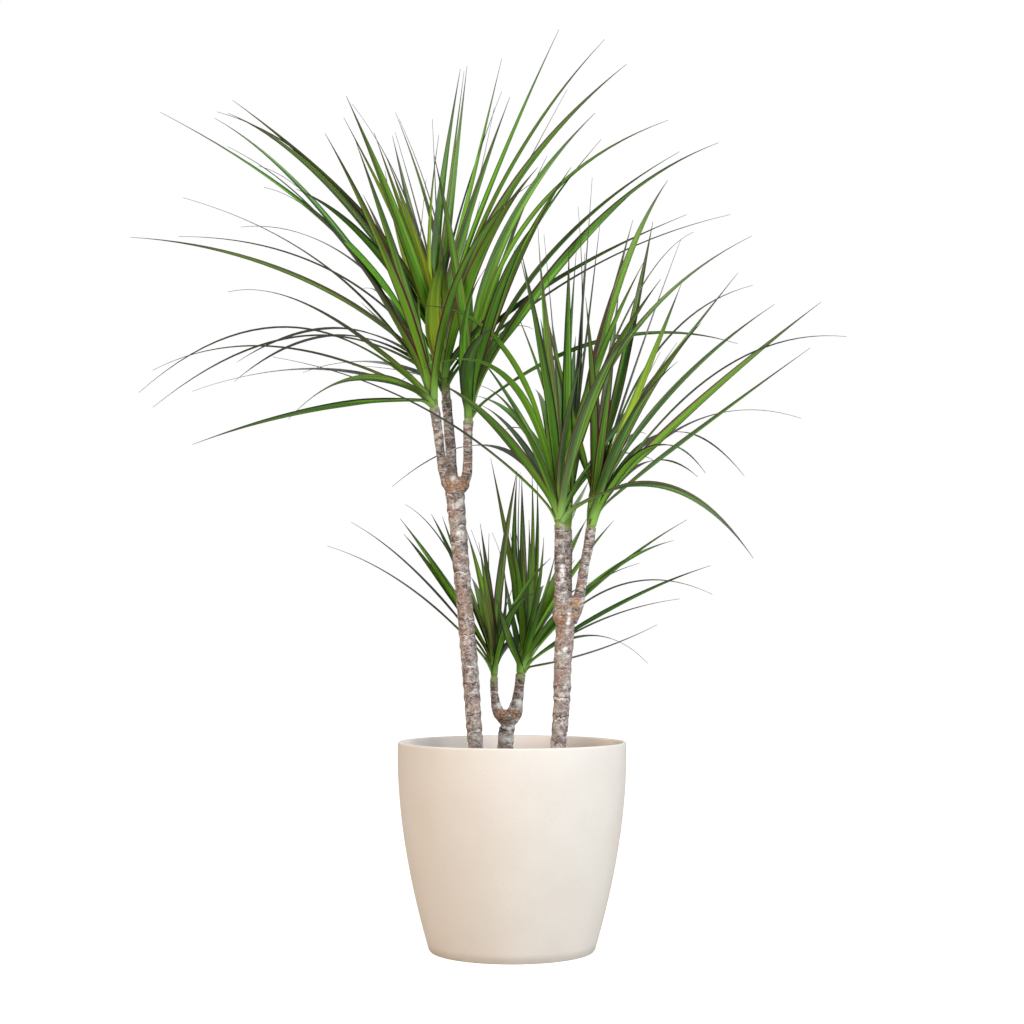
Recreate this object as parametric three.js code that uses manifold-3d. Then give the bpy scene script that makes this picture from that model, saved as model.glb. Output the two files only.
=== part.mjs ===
// Potted dracaena: three bare canes of different height stand in a round tapering pot, and each
// forks into branches that end in a head of long narrow leaves.
// Millimetres, +Z up, origin at the centre of the pot's underside, front towards -Y.
import * as THREE from "three";
import { mergeVertices } from "three/addons/utils/BufferGeometryUtils.js";
import Module from "manifold-3d";

const wasm = await Module();
wasm.setup();

// ---- driving dimensions ----
const gap = 0.3; // clearance between pieces that touch
const pot = {
  height: 271,
  rimRadius: 150,
  footRadius: 108,
  footChamfer: 3,
  wall: 5,
  floor: 8,
  bellyHeight: 250, // the wall swells up to here and is upright above it
  bellyPower: 1.8,
  lip: 2.5, // rounding of the rim's edges
  sides: 40,
  ringHeights: [28, 62, 100, 142, 190, 235], // where the outer wall's rings lie
};
const soil = {
  level: 230, // height of the surface at the wall
  mound: 7, // how much higher it is round the canes
  moundRadius: 70,
  slopeRadius: 120,
  slope: 1.5, // height above the level that far out
};
const caneFoot = 112; // height of the canes' buried ends
const caneSides = 10;
const branchSides = 8;
const neckSides = 6;
const neckInset = 0.8; // how much slimmer than its branch a head's neck starts

// Each run is a line of stations [x, y, z, radius]; each knob is a swelling [x, y, z, rx, ry, rz].
const canes = {
  caneTall: {
    runs: [
      [[-35, 10, caneFoot, 10], [-48, 10, 262, 10.3], [-56, 10, 372, 11.1], [-64, 10, 464, 10.7],
        [-72, 10, 555, 11.5], [-76, 10, 598, 12.6], [-77, 10, 613, 12.4]],
      [[-79, 8, 603, 8], [-90, 2, 622, 6], [-94, -3, 647, 5.8], [-98, -6, 680, 6.2],
        [-103, -8, 711, 6.5]],
      [[-78, 14, 607, 8], [-82, 17, 632, 6.4], [-82, 19, 659, 6.2], [-85, 21, 692, 6.4],
        [-88, 22, 726, 6.5]],
      [[-73, 8, 600, 8], [-63, 6, 614, 7], [-59, 4, 636, 6], [-59, 3, 669, 5.8], [-58, 2, 695, 6.4]],
    ],
    knobs: [[-83, 9, 616, 13, 12, 16], [-67, 7, 612, 12, 11, 15]],
    colour: 0x9a8272,
  },
  caneRight: {
    runs: [
      [[53, -35, caneFoot, 10], [60, -35, 265, 10.2], [64, -35, 314, 10.9], [66, -35, 373, 11.7],
        [69, -35, 419, 12.2], [69, -36, 440, 12]],
      [[66, -38, 432, 10], [64, -41, 460, 9.4], [63, -44, 484, 7.6], [62, -46, 523, 6.7],
        [62, -48, 554, 6.6]],
      [[71, -30, 436, 8], [72, -22, 468, 6.4], [73, -15, 510, 5.8], [73, -11, 550, 6]],
      [[75, -35, 430, 10], [84, -35, 446, 8.4], [89, -35, 469, 6.7], [94, -35, 499, 6.1],
        [101, -34, 534, 6.7], [103, -34, 551, 6.6]],
    ],
    knobs: [[65, -38, 438, 13, 13, 19], [82, -35, 448, 10, 10, 16]],
    colour: 0x9c8878,
  },
  caneShort: {
    runs: [
      [[-10, 50, caneFoot, 10.4], [-9, 50, 259, 10.8], [-7, 50, 287, 10.8]],
      [[-7, 50, 280, 9.4], [-6, 50, 298, 9]],
      [[-6, 50, 290, 8], [-19, 49, 309, 7.4], [-23, 48, 326, 5.2], [-24, 47, 340, 4.9],
        [-24, 46, 354, 5]],
      [[-6, 50, 292, 9], [6, 52, 306, 9.4], [8, 54, 322, 6.8], [10, 56, 342, 6.3],
        [12, 57, 358, 6.6]],
    ],
    knobs: [[-6, 50, 300, 15, 12, 10]],
    colour: 0x8f7b6c,
  },
};

// Leaf heads. branch: the run whose top carries the head; neck: length of the green stem that the
// leaves clasp; longest: length of a full-grown leaf; more: how many leaves are placed by rule.
// Each leaf read off the plant's front is [middle x, middle z, tip x, tip z, width, depth], with
// the places measured from the branch's top, the width as it shows, and depth from -1, reaching
// fully towards the front, to 1, fully to the back. A seventh value is the height of its root as a
// share of the neck, where that shows.
const heads = {
  headTallLeft: {
    branch: canes.caneTall.runs[1], neck: 62, longest: 520, more: 6,
    leaves: [
      [-122, 224, -368, 398, 8, -0.5], [-148, 258, -295, 390, 8, 0.5], [-135, 235, -277, 351, 4, -0.8],
      [-130, 240, -236, 325, 4, 0.8], [-118, 215, -228, 296, 4, -0.9], [-142, 186, -336, 282, 4, 0.6],
      [-155, 130, -275, 155, 5, -0.8], [-196, 107, -392, 20, 4, 0.4], [-203, 80, -374, 50, 4, -0.4],
      [-155, 51, -321, 22, 5, 0.7], [-101, 38, -193, -15, 8, -0.8], [-155, -3, -320, -49, 8, -0.6],
    ],
  },
  headTallBack: {
    branch: canes.caneTall.runs[2], neck: 120, longest: 520, more: 7,
    leaves: [
      [-109, 242, -291, 408, 11, 0.4], [-150, 278, -297, 390, 9, 0.7], [-145, 285, -312, 392, 4, 0.2],
      [-103, 208, -204, 286, 11, -0.3], [-157, 208, -360, 273, 4, 0.6], [-136, 194, -278, 234, 4, 0.8],
      [-197, 163, -427, 220, 7, 0.3], [-157, 174, -362, 221, 4, -0.2], [-190, 85, -394, -11, 4, 0.6],
      [-136, 95, -282, 50, 4, 0.9], [-143, 86, -285, 24, 4, 0.8], [-100, 50, -193, 36, 5, 0.9],
      [-49, 36, -127, 46, 4, 0.9], [-59, 217, -140, 384, 8, -0.5], [-55, 269, -129, 403, 4, 0.7],
      [-35, 190, -84, 334, 7, -0.8], [-51, 167, -84, 312, 8, 0.8], [-38, 208, -74, 359, 13, 0.8],
      [-32, 221, -70, 363, 4, -0.7], [-19, 228, -70, 391, 7, 0.5], [-11, 221, -65, 382, 4, -0.6],
      [-12, 221, -20, 382, 4, 0.8], [-22, 201, -11, 360, 6, -0.8], [-11, 235, 18, 451, 12, -0.3],
      [4, 239, 27, 455, 11, 0.3], [-1, 228, 23, 448, 7, 0.7], [12, 228, 74, 420, 5, 0.8],
      [28, 262, 74, 465, 7, 0.3], [22, 221, 85, 412, 12, -0.5], [26, 215, 64, 398, 4, 0.9],
      [62, 292, 152, 506, 7, 0.1], [84, 306, 214, 492, 6, 0.2], [86, 282, 244, 458, 11, -0.2],
      [73, 248, 163, 423, 4, 0.7], [127, 147, 324, 251, 7, 0.5], [181, 170, 383, 251, 4, 0.4],
      [-16, 125, 0, 201, 14, -0.25, 0.28], [32, 81, 79, 138, 9, -0.2, 0.3],
      [-55, 71, -115, 131, 9, -0.3, 0.12],
    ],
  },
  headTallRight: {
    branch: canes.caneTall.runs[3], neck: 60, longest: 470, more: 9,
    leaves: [
      [46, 242, 170, 416, 15, -0.5], [82, 269, 268, 406, 7, 0.3], [65, 215, 178, 380, 6, 0.7],
      [109, 220, 283, 363, 7, 0.4], [103, 186, 239, 325, 14, -0.6], [157, 251, 335, 375, 7, -0.1],
      [49, 217, 105, 357, 6, 0.8], [184, 107, 359, 103, 6, 0.6], [3, 85, 34, 124, 13, -0.8],
      [23, 81, 49, 116, 7, 0.9], [-5, 123, 22, 204, 8, -0.9],
    ],
  },
  headRightFront: {
    branch: canes.caneRight.runs[1], neck: 48, longest: 440, more: 9,
    leaves: [
      [-75, 195, -211, 185, 8, -0.7], [-53, 234, -161, 384, 11, -0.4], [-70, 224, -181, 286, 8, -0.7],
      [-22, 205, -55, 366, 6, 0.5], [-16, 198, -28, 391, 6, 0.3], [-5, 191, -20, 380, 4, -0.4],
      [-11, 191, -25, 346, 11, -0.5], [-63, 198, -70, 389, 11, 0.4], [-79, 123, -158, 185, 12, -0.8],
      [-55, 112, -108, 158, 8, 0.8], [-172, 148, -375, 219, 4, -0.5], [-92, 102, -218, 49, 5, 0.9],
      [-53, 133, -107, 182, 6, -0.9], [112, 172, 234, 330, 8, 0.4], [90, 240, 253, 379, 8, -0.1],
      [132, 49, 251, -44, 9, -0.8], [90, 277, 176, 384, 4, 0.5], [9, 125, 33, 231, 8, -0.8],
    ],
  },
  headRightBack: {
    branch: canes.caneRight.runs[2], neck: 46, longest: 470, more: 13,
    leaves: [
      [62, 302, 135, 466, 13, 0.2], [46, 243, 88, 412, 9, 0.6], [3, 203, 13, 375, 7, 0.7],
      [16, 210, 24, 368, 7, 0.8], [18, 249, 34, 469, 5, 0.3], [20, 236, 15, 430, 4, 0.5],
      [26, 249, 45, 414, 5, 0.7], [13, 32, 29, 65, 8, 0.9],
    ],
  },
  headRightSide: {
    branch: canes.caneRight.runs[3], neck: 48, longest: 420, more: 9,
    leaves: [
      [-25, 141, -66, 313, 11, -0.7], [49, 234, 83, 404, 13, -0.2], [20, 168, 38, 313, 15, 0.7],
      [58, 207, 120, 381, 5, 0.4], [86, 228, 214, 319, 5, 0.5], [65, 181, 120, 321, 11, -0.5],
      [58, 148, 114, 243, 6, 0.9], [104, 174, 243, 294, 8, 0.5], [164, 201, 337, 251, 4, 0.2],
      [131, 153, 304, 297, 12, -0.1], [98, 128, 203, 214, 4, 0.8], [137, 123, 289, 236, 6, -0.5],
      [131, 136, 276, 143, 4, 0.6], [98, 123, 201, 67, 5, 0.7], [78, 103, 150, 71, 6, -0.8],
      [71, 84, 140, 66, 4, 0.8],
    ],
  },
  headShortLeft: {
    branch: canes.caneShort.runs[2], neck: 36, longest: 290, more: 8,
    leaves: [
      [-111, 117, -225, 176, 4, 0.3], [-100, 135, -193, 208, 5, -0.2], [-68, 130, -127, 213, 9, 0.5],
      [-59, 163, -120, 232, 4, 0.8], [-53, 151, -85, 219, 7, 0.8], [-43, 138, -70, 216, 7, 0.5],
      [-73, 128, -122, 192, 8, 0.2], [-4, 104, -31, 198, 4, -0.6], [-7, 104, -7, 193, 5, 0.8],
      [11, 151, 31, 279, 11, -0.3], [-8, 70, -15, 130, 7, -0.5], [-15, 90, -31, 134, 13, 0.8],
      [15, 117, -3, 194, 4, 0.6], [28, 50, 89, 66, 7, 0.9],
    ],
  },
  headShortRight: {
    branch: canes.caneShort.runs[3], neck: 42, longest: 300, more: 7,
    leaves: [
      [-15, 154, -41, 292, 9, 0.2], [-9, 140, -5, 273, 11, -0.3], [3, 140, 1, 269, 12, 0.3],
      [-4, 154, -1, 273, 4, 0.5], [14, 140, 15, 275, 8, -0.2], [19, 140, 22, 262, 8, 0.5],
      [11, 100, 11, 208, 11, -0.7], [22, 100, 31, 184, 7, -0.8], [27, 86, 47, 163, 6, -0.9],
      [53, 138, 89, 209, 12, 0.5], [70, 134, 126, 207, 7, 0.3], [113, 128, 225, 208, 6, 0.1],
      [107, 127, 207, 180, 8, 0.4], [126, 116, 259, 107, 4, 0.2], [134, 93, 257, 146, 6, -0.2],
      [104, 70, 215, 101, 4, 0.6], [93, 28, 184, 66, 4, 0.7], [93, 51, 171, 14, 4, 0.5],
      [36, 93, 73, 154, 7, -0.8], [42, 84, 93, 123, 7, 0.8], [-12, 73, -22, 134, 8, 0.9],
      [-18, 53, -32, 100, 11, -0.9],
    ],
  },
};
const eye = new THREE.Vector3(0, -2468, 417.5); // point that the leaves were sighted from
const bladeThickness = 0.8;
const bladeCells = 4;
const bladeTip = 1.4; // width left at a leaf's tip
const bladeSlimness = 0.022; // how much wider a longer leaf is, on top of its least width
const bladeLeast = 5.5;
const bladeSlope = [0.25, 1.9]; // share of its width at the root, and how fast it widens from there
const bladeTaper = [2.6, 0.9]; // powers of its narrowing towards the tip
const claspEnd = 0.4; // share of a leaf's length over which it turns from the neck to its own face
// Length of a leaf as a share of "longest", and how much of it is left between its ends by its bow.
const ripe = { share: 0.8, spread: 0.15, taut: 0.93 };
const depthLag = 0.375; // share of its depth that a leaf has reached half way along
const depthChange = 0.16; // by how much a further try may move the depth
// Leaves placed by rule: lean from the axis and droop past the middle, in radians, grow with age.
const ruled = {
  lean: 0.1, leanGrowth: 0.75, droop: 0.08, droopGrowth: 0.2,
  length: 0.44, lengthGrowth: 0.36, lengthSpread: 0.1,
  youngAge: 0.3, youngSpread: 3, oldSpread: 0.9, // turn, left and right of the front-back line
  change: 0.08, mostChange: 0.64, leanChange: 0.7, roll: 0.9,
  halfWay: 0.5, pastHalf: 0.48, // shares of the length to its middle and from there to its tip
};
// Height of a leaf's root as a share of the neck: a level leaf's, what an upright one adds by a
// power of its rise, and its play; and how far out from the neck's axis it lies, as a share of the
// neck's radius.
const rooted = { level: 0.12, upright: 0.78, power: 4, play: 0.1, out: 0.4 };
const bladeClearance = 0.6; // kept between leaves of different heads
const bladeTries = 40; // places that a leaf may try before it is left out
const neighbourTries = 30; // of these, the ones that also keep clear of the head's own leaves
const outerFrom = 0.15; // share of a leaf's length past which it may not cross its neighbours
const goldenShare = 0.39996;
const green = 0x4c8a35;

// ---- shapes ----
function solidOf(geometry) {
  const bare = geometry.clone();
  bare.deleteAttribute("normal");
  bare.deleteAttribute("uv");
  const merged = mergeVertices(bare, 1e-4);
  const vertProperties = new Float32Array(merged.attributes.position.array);
  const triVerts = new Uint32Array(merged.index.array);
  return new wasm.Manifold(new wasm.Mesh({ numProp: 3, vertProperties, triVerts }));
}

function meshOf(name, solid, colour, roughness) {
  const { vertProperties, triVerts } = solid.getMesh();
  const geometry = new THREE.BufferGeometry();
  geometry.setAttribute("position", new THREE.BufferAttribute(vertProperties, 3));
  geometry.setIndex(new THREE.BufferAttribute(triVerts, 1));
  geometry.computeVertexNormals();
  const material = new THREE.MeshStandardMaterial({
    color: colour,
    roughness,
    metalness: 0,
    flatShading: true,
  });
  const mesh = new THREE.Mesh(geometry, material);
  mesh.name = name;
  return mesh;
}

// A closed skin over rings of points that turn the same way seen along the run; cells on opposite
// sides are split along the same diagonal, so that the two faces of a twisted blade never meet.
function loft(rings) {
  const count = rings[0].length;
  const points = rings.flat().flatMap((point) => [point.x, point.y, point.z]);
  const index = [];
  for (let ring = 0; ring + 1 < rings.length; ring += 1) {
    for (let side = 0; side < count; side += 1) {
      const a = ring * count + side;
      const b = ring * count + ((side + 1) % count);
      if (side < count / 2) {
        index.push(a, b, b + count, a, b + count, a + count);
      } else {
        index.push(a, b, a + count, b, b + count, a + count);
      }
    }
  }
  const last = (rings.length - 1) * count;
  for (let side = 1; side + 1 < count; side += 1) {
    index.push(0, side + 1, side);
    index.push(last, last + side, last + side + 1);
  }
  const geometry = new THREE.BufferGeometry();
  geometry.setAttribute("position", new THREE.Float32BufferAttribute(points, 3));
  geometry.setIndex(index);
  return geometry;
}

// A round stem through stations [x, y, z, radius], made "extra" thicker and longer at both ends.
function stem(stations, sides, extra = 0) {
  const centres = stations.map(([x, y, z]) => new THREE.Vector3(x, y, z));
  const rings = centres.map((centre, at) => {
    const before = centres[Math.max(0, at - 1)];
    const after = centres[Math.min(centres.length - 1, at + 1)];
    const along = after.clone().sub(before).normalize();
    const across = new THREE.Vector3(0, 1, 0).cross(along).normalize();
    const round = along.clone().cross(across);
    const radius = stations[at][3] + extra;
    const shift = at === 0 ? -extra : at === centres.length - 1 ? extra : 0;
    const middle = centre.clone().addScaledVector(along, shift);
    return Array.from({ length: sides }, (_, side) => {
      const angle = (2 * Math.PI * side) / sides;
      return middle
        .clone()
        .addScaledVector(across, radius * Math.cos(angle))
        .addScaledVector(round, radius * Math.sin(angle));
    });
  });
  return solidOf(loft(rings));
}

function swelling([x, y, z, rx, ry, rz]) {
  const geometry = new THREE.SphereGeometry(1, 10, 6);
  geometry.scale(rx, ry, rz);
  geometry.translate(x, y, z);
  return solidOf(geometry);
}

function turned(profile) {
  const points = profile.map(([radius, height]) => new THREE.Vector2(radius, height));
  const geometry = new THREE.LatheGeometry(points, pot.sides);
  geometry.rotateX(Math.PI / 2);
  return solidOf(geometry);
}

// ---- pot ----
function potRadius(height) {
  const below = Math.max(0, 1 - height / pot.bellyHeight);
  return pot.rimRadius - (pot.rimRadius - pot.footRadius) * below ** pot.bellyPower;
}

const innerHeights = [soil.level, 160, 90, 40, pot.floor]; // rings of the inner wall and the soil

function potBody() {
  const outer = [pot.footChamfer, ...pot.ringHeights].map((height) => [potRadius(height), height]);
  const inner = innerHeights.map((height) => [potRadius(height) - pot.wall, height]);
  const profile = [
    [0, 0],
    [pot.footRadius - pot.footChamfer, 0],
    ...outer,
    [pot.rimRadius, pot.height - pot.lip],
    [pot.rimRadius - pot.lip, pot.height],
    [pot.rimRadius - pot.wall + 1, pot.height],
    [pot.rimRadius - pot.wall, pot.height - 1],
    ...inner,
    [0, pot.floor],
  ];
  return turned(profile);
}

// ---- soil, with a blind hole for each cane ----
function soilBody() {
  const wallSide = innerHeights.map((height) => [potRadius(height) - pot.wall - gap, height]);
  wallSide[wallSide.length - 1][1] += gap;
  const profile = [
    [0, pot.floor + gap],
    ...wallSide.reverse(),
    [soil.slopeRadius, soil.level + soil.slope],
    [soil.moundRadius, soil.level + soil.mound],
    [0, soil.level + soil.mound + 1],
  ];
  return Object.values(canes).reduce(
    (body, cane) => body.subtract(stem(cane.runs[0], caneSides, gap)),
    turned(profile),
  );
}

// ---- canes ----
function caneBody({ runs, knobs }) {
  const [trunk, ...branches] = runs;
  const parts = [...branches.map((run) => stem(run, branchSides)), ...knobs.map(swelling)];
  return parts.reduce((body, piece) => body.add(piece), stem(trunk, caneSides));
}

// ---- leaf heads ----
function seededRandom(seed) {
  let state = seed;
  return () => {
    state = (state * 16807) % 2147483647;
    return state / 2147483647;
  };
}

// The head's base, a little clear of its branch, the direction it grows in and its neck's radius.
function headFrame(head) {
  const [below, last] = head.branch.slice(-2);
  const branchTop = new THREE.Vector3(...last);
  const axis = branchTop.clone().sub(new THREE.Vector3(...below)).normalize();
  return { base: branchTop.addScaledVector(axis, gap), axis, radius: last[3] - neckInset };
}

const neckShape = [[0, 1], [0.45, 1.3], [0.9, 1.3], [1.6, 0.3]]; // share of length, of radius

function neckBody(head) {
  const { base, axis, radius } = headFrame(head);
  const stations = neckShape.map(([along, share]) => {
    const centre = base.clone().addScaledVector(axis, along * head.neck);
    return [centre.x, centre.y, centre.z, share * radius];
  });
  return stem(stations, neckSides);
}

// A place that shows at x, z from the head's base, moved along its sight line to a depth.
function sighted(base, x, z, depth) {
  const inPlane = new THREE.Vector3(base.x + x, base.y, base.z + z);
  const reach = 1 + depth / (base.y - eye.y);
  return eye.clone().addScaledVector(inPlane.sub(eye), reach);
}

// Curve of a leaf that was read off the plant; a try other than the first changes its depth.
function readLeaf(head, row, attempt, random) {
  const { base } = headFrame(head);
  const [middleX, middleZ, tipX, tipZ, shown, wish, seat = null] = row;
  const flat = Math.hypot(tipX, tipZ);
  const length = Math.max(flat, head.longest * (ripe.share + ripe.spread * random()));
  const room = Math.sqrt(Math.max(0, (ripe.taut * length) ** 2 - flat ** 2));
  const change = (random() - 0.5) * depthChange * attempt;
  const depth = room * Math.max(-1, Math.min(1, wish + change));
  const tip = sighted(base, tipX, tipZ, depth);
  const middle = sighted(base, middleX, middleZ, depthLag * depth);
  return { middle, tip, width: Math.max(shown, bladeLeast + bladeSlimness * length), shown, seat };
}

// Curve of a leaf placed by rule: young ones stand up in the middle, older ones lean out and
// arch over, mostly to the front and the back, where the rows above hold few.
function ruleLeaf(head, order, attempt, random) {
  const { base, axis } = headFrame(head);
  const age = (order + 0.5) / head.more;
  const front = (order % 2 === 0 ? 1 : -1) * (Math.PI / 2);
  const spread = age < ruled.youngAge ? ruled.youngSpread : ruled.oldSpread;
  const change = Math.min(ruled.mostChange, ruled.change * attempt);
  const turn = front + spread * (((order * goldenShare) % 1) - 0.5) + change * (random() - 0.5);
  const lean = ruled.lean + ruled.leanGrowth * age + ruled.leanChange * change * (random() - 0.5);
  const growth = ruled.lengthGrowth * Math.sin(Math.PI * Math.min(0.5, age));
  const length = head.longest * (ruled.length + growth + ruled.lengthSpread * random());
  const droop = ruled.droop + ruled.droopGrowth * age;
  const out = new THREE.Vector3(Math.cos(turn), Math.sin(turn), 0);
  const towards = (angle) => {
    return axis.clone().multiplyScalar(Math.cos(angle)).addScaledVector(out, Math.sin(angle));
  };
  const middle = base.clone().addScaledVector(towards(lean), ruled.halfWay * length);
  const tip = middle.clone().addScaledVector(towards(lean + 2 * droop), ruled.pastHalf * length);
  return { middle, tip, width: bladeLeast + bladeSlimness * length, shown: null, seat: null };
}

// Root, bending point and tip of a leaf, and the direction across its blade at root and middle.
function leafCurve(head, { middle, tip, width, shown, seat }, random) {
  const { base, axis, radius } = headFrame(head);
  const reach = tip.clone().sub(base);
  const rise = reach.dot(axis) / reach.length();
  const out = reach.clone().addScaledVector(axis, -reach.dot(axis)).normalize();
  const play = rooted.play * random();
  const raised = rooted.upright * Math.max(0, rise) ** rooted.power;
  const height = head.neck * (seat ?? rooted.level + raised + play);
  const root = base.clone().addScaledVector(axis, height).addScaledVector(out, rooted.out * radius);
  const bend = middle.clone().multiplyScalar(2).addScaledVector(root, -0.5).addScaledVector(tip, -0.5);
  const clasp = axis.clone().cross(out);
  const along = tip.clone().sub(root).normalize();
  const sight = middle.clone().sub(eye).normalize();
  const flatWise = sight.clone().cross(along).normalize();
  const deepWise = along.clone().cross(flatWise);
  if (shown === null) {
    const roll = (random() - 0.5) * ruled.roll;
    const face = clasp.clone().applyAxisAngle(along, roll);
    return { root, bend, tip, width, clasp, face };
  }
  const roll = Math.acos(Math.min(1, shown / width));
  const choices = [1, -1].map((sign) =>
    flatWise.clone().multiplyScalar(Math.cos(roll)).addScaledVector(deepWise, sign * Math.sin(roll)),
  );
  choices.sort((one, other) => Math.abs(other.dot(clasp)) - Math.abs(one.dot(clasp)));
  const face = choices[0].multiplyScalar(Math.sign(choices[0].dot(clasp)) || 1);
  return { root, bend, tip, width, clasp, face };
}

// Share of its full width that a blade has: slim at the root, widest a third of the way along.
function widthShare(along) {
  const opening = Math.min(1, bladeSlope[0] + bladeSlope[1] * along);
  return opening * (1 - along ** bladeTaper[0]) ** bladeTaper[1];
}

// A blade from its curve, from a share of its length on, "extra" fatter all round.
function blade({ root, bend, tip, width, clasp, face }, from, extra) {
  const curve = new THREE.QuadraticBezierCurve3(root, bend, tip);
  const rings = [];
  for (let cell = 0; cell <= bladeCells; cell += 1) {
    const along = from + ((1 - from) * cell) / bladeCells;
    const centre = curve.getPoint(along);
    const ahead = bend.clone().sub(root).lerp(tip.clone().sub(bend), along).normalize();
    const blend = THREE.MathUtils.smoothstep(along, 0, claspEnd);
    const across = clasp.clone().lerp(face, blend);
    across.addScaledVector(ahead, -across.dot(ahead)).normalize();
    const up = ahead.clone().cross(across);
    const half = Math.max(bladeTip, width * widthShare(along)) / 2 + extra;
    const thick = bladeThickness / 2 + extra;
    rings.push([[-half, -thick], [half, -thick], [half, thick], [-half, thick]].map(([wide, high]) =>
      centre.clone().addScaledVector(across, wide).addScaledVector(up, high),
    ));
  }
  return solidOf(loft(rings));
}

function nothing() {
  const speck = solidOf(new THREE.BoxGeometry(1, 1, 1));
  return speck.subtract(speck);
}

function crosses(solid, other) {
  return !solid.intersect(other).isEmpty();
}

// The outer skin of a body, which fills what crossing blades seal off between them.
function outerSkin(body) {
  return body.decompose().reduce((largest, part) => (part.volume() > largest.volume() ? part : largest));
}

// A leaf's blade at the first of its tries that is clear of the other pieces and, while it can,
// of the head's own blades; null where no try is.
function placedBlade(head, order, leaf, others, ownBlades) {
  for (let attempt = 0; attempt < bladeTries; attempt += 1) {
    const random = seededRandom(1 + 7919 * (order + 1) + 104729 * (leaf + 1) + 611953 * attempt);
    random();
    const place = leaf < head.leaves.length
      ? readLeaf(head, head.leaves[leaf], attempt, random)
      : ruleLeaf(head, leaf - head.leaves.length, attempt, random);
    const curve = leafCurve(head, place, random);
    const nearOwn = attempt < neighbourTries && crosses(blade(curve, outerFrom, 0), ownBlades);
    if (!nearOwn && !crosses(blade(curve, 0, bladeClearance), others)) {
      return curve;
    }
  }
  return null;
}

// ---- the plant in its pot ----
const plant = new THREE.Group();
plant.add(meshOf("pot", potBody(), 0xefeae4, 0.75));
plant.add(meshOf("soil", soilBody(), 0x3a2c22, 1));

const caneBodies = Object.entries(canes).map(([name, cane]) => {
  const body = caneBody(cane);
  plant.add(meshOf(name, body, cane.colour, 0.85));
  return body;
});

// The leaves that were read off the plant are placed in all heads first, then the ones by rule.
const grown = Object.values(heads).map((head) => ({ head, body: neckBody(head), outer: nothing() }));
for (const byRule of [false, true]) {
  grown.forEach((own, order) => {
    const rest = grown.filter((other) => other !== own).map((other) => other.body);
    const others = [...caneBodies, ...rest].reduce((body, piece) => body.add(piece));
    const read = own.head.leaves.length;
    const [first, end] = byRule ? [read, read + own.head.more] : [0, read];
    for (let leaf = first; leaf < end; leaf += 1) {
      const curve = placedBlade(own.head, order, leaf, others, own.outer);
      if (curve) {
        own.body = own.body.add(blade(curve, 0, 0));
        own.outer = own.outer.add(blade(curve, outerFrom, 0));
      }
    }
  });
}
Object.keys(heads).forEach((name, order) => {
  plant.add(meshOf(name, outerSkin(grown[order].body), green, 0.45));
});

export default plant;
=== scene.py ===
import math

import bpy
import numpy as np
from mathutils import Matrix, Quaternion, Vector, kdtree, noise


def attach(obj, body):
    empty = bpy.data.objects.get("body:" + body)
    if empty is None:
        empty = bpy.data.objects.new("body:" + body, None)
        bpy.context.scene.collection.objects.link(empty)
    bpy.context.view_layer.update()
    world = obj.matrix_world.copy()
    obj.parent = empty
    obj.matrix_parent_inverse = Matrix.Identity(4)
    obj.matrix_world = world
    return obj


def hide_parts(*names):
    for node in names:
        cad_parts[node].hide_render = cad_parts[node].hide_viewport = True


# Potted dracaena: a cream pot, soil, three bare canes and eight heads of long narrow leaves.
# The sizes below are millimetres, and mm turns them into Blender's metres.

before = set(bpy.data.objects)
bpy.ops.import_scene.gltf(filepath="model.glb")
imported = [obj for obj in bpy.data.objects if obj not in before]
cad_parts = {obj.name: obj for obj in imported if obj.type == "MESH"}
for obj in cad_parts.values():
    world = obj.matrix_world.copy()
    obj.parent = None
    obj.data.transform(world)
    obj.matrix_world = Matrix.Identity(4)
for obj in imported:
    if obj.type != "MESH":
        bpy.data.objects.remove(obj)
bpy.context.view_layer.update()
mm = 0.001
tree = None  # the node tree that is being filled


def deselectAll():
    if bpy.context.object and bpy.context.object.mode != "OBJECT":
        bpy.ops.object.mode_set(mode="OBJECT")
    bpy.ops.object.select_all(action="DESELECT")


def useNodes(owner):
    # the nodes that follow go into this material or world
    global tree
    owner.use_nodes = True
    tree = owner.node_tree
    return owner


def fillSockets(node, sockets):
    # a value goes into the socket, and another node's output is linked to it
    for socket, value in sockets.items():
        if isinstance(value, bpy.types.NodeSocket):
            tree.links.new(value, node.inputs[socket])
        else:
            node.inputs[socket].default_value = value


def addNode(kind, sockets=None, **settings):
    added = tree.nodes.new("ShaderNode" + kind)
    for setting, value in settings.items():
        setattr(added, setting, value)
    fillSockets(added, sockets or {})
    return added


def compute(operation, first, second=0.0, third=0.0):
    return addNode("Math", {0: first, 1: second, 2: third}, operation=operation).outputs[0]


def times(product, *factors):
    for factor in factors:
        product = compute("MULTIPLY", product, factor)
    return product


def step(value, low, high, atLow=0.0, atHigh=1.0):
    # a soft step from one value to the other as the input goes from low to high
    return addNode("MapRange", {
        "Value": value, "From Min": low, "From Max": high, "To Min": atLow, "To Max": atHigh,
    }, interpolation_type="SMOOTHSTEP").outputs[0]


def blend(share, first, second):
    colours = [(*colour, 1) if isinstance(colour, tuple) else colour for colour in (first, second)]
    return addNode("Mix", {0: share, 6: colours[0], 7: colours[1]}, data_type="RGBA").outputs[2]


def layCoats(finish, ground, coats):
    # lays the finish's colours over its ground one by one, each with its share
    for share, coat in coats:
        ground, coat = (finish[tint] if isinstance(tint, str) else tint for tint in (ground, coat))
        ground = blend(share, ground, coat)
    return ground


def grain(place, scale, detail=2.0, roughness=0.5, distortion=0.0):
    return addNode("TexNoise", {
        "Vector": place, "Scale": scale, "Detail": detail, "Roughness": roughness, "Distortion": distortion,
    }).outputs[0]


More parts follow.
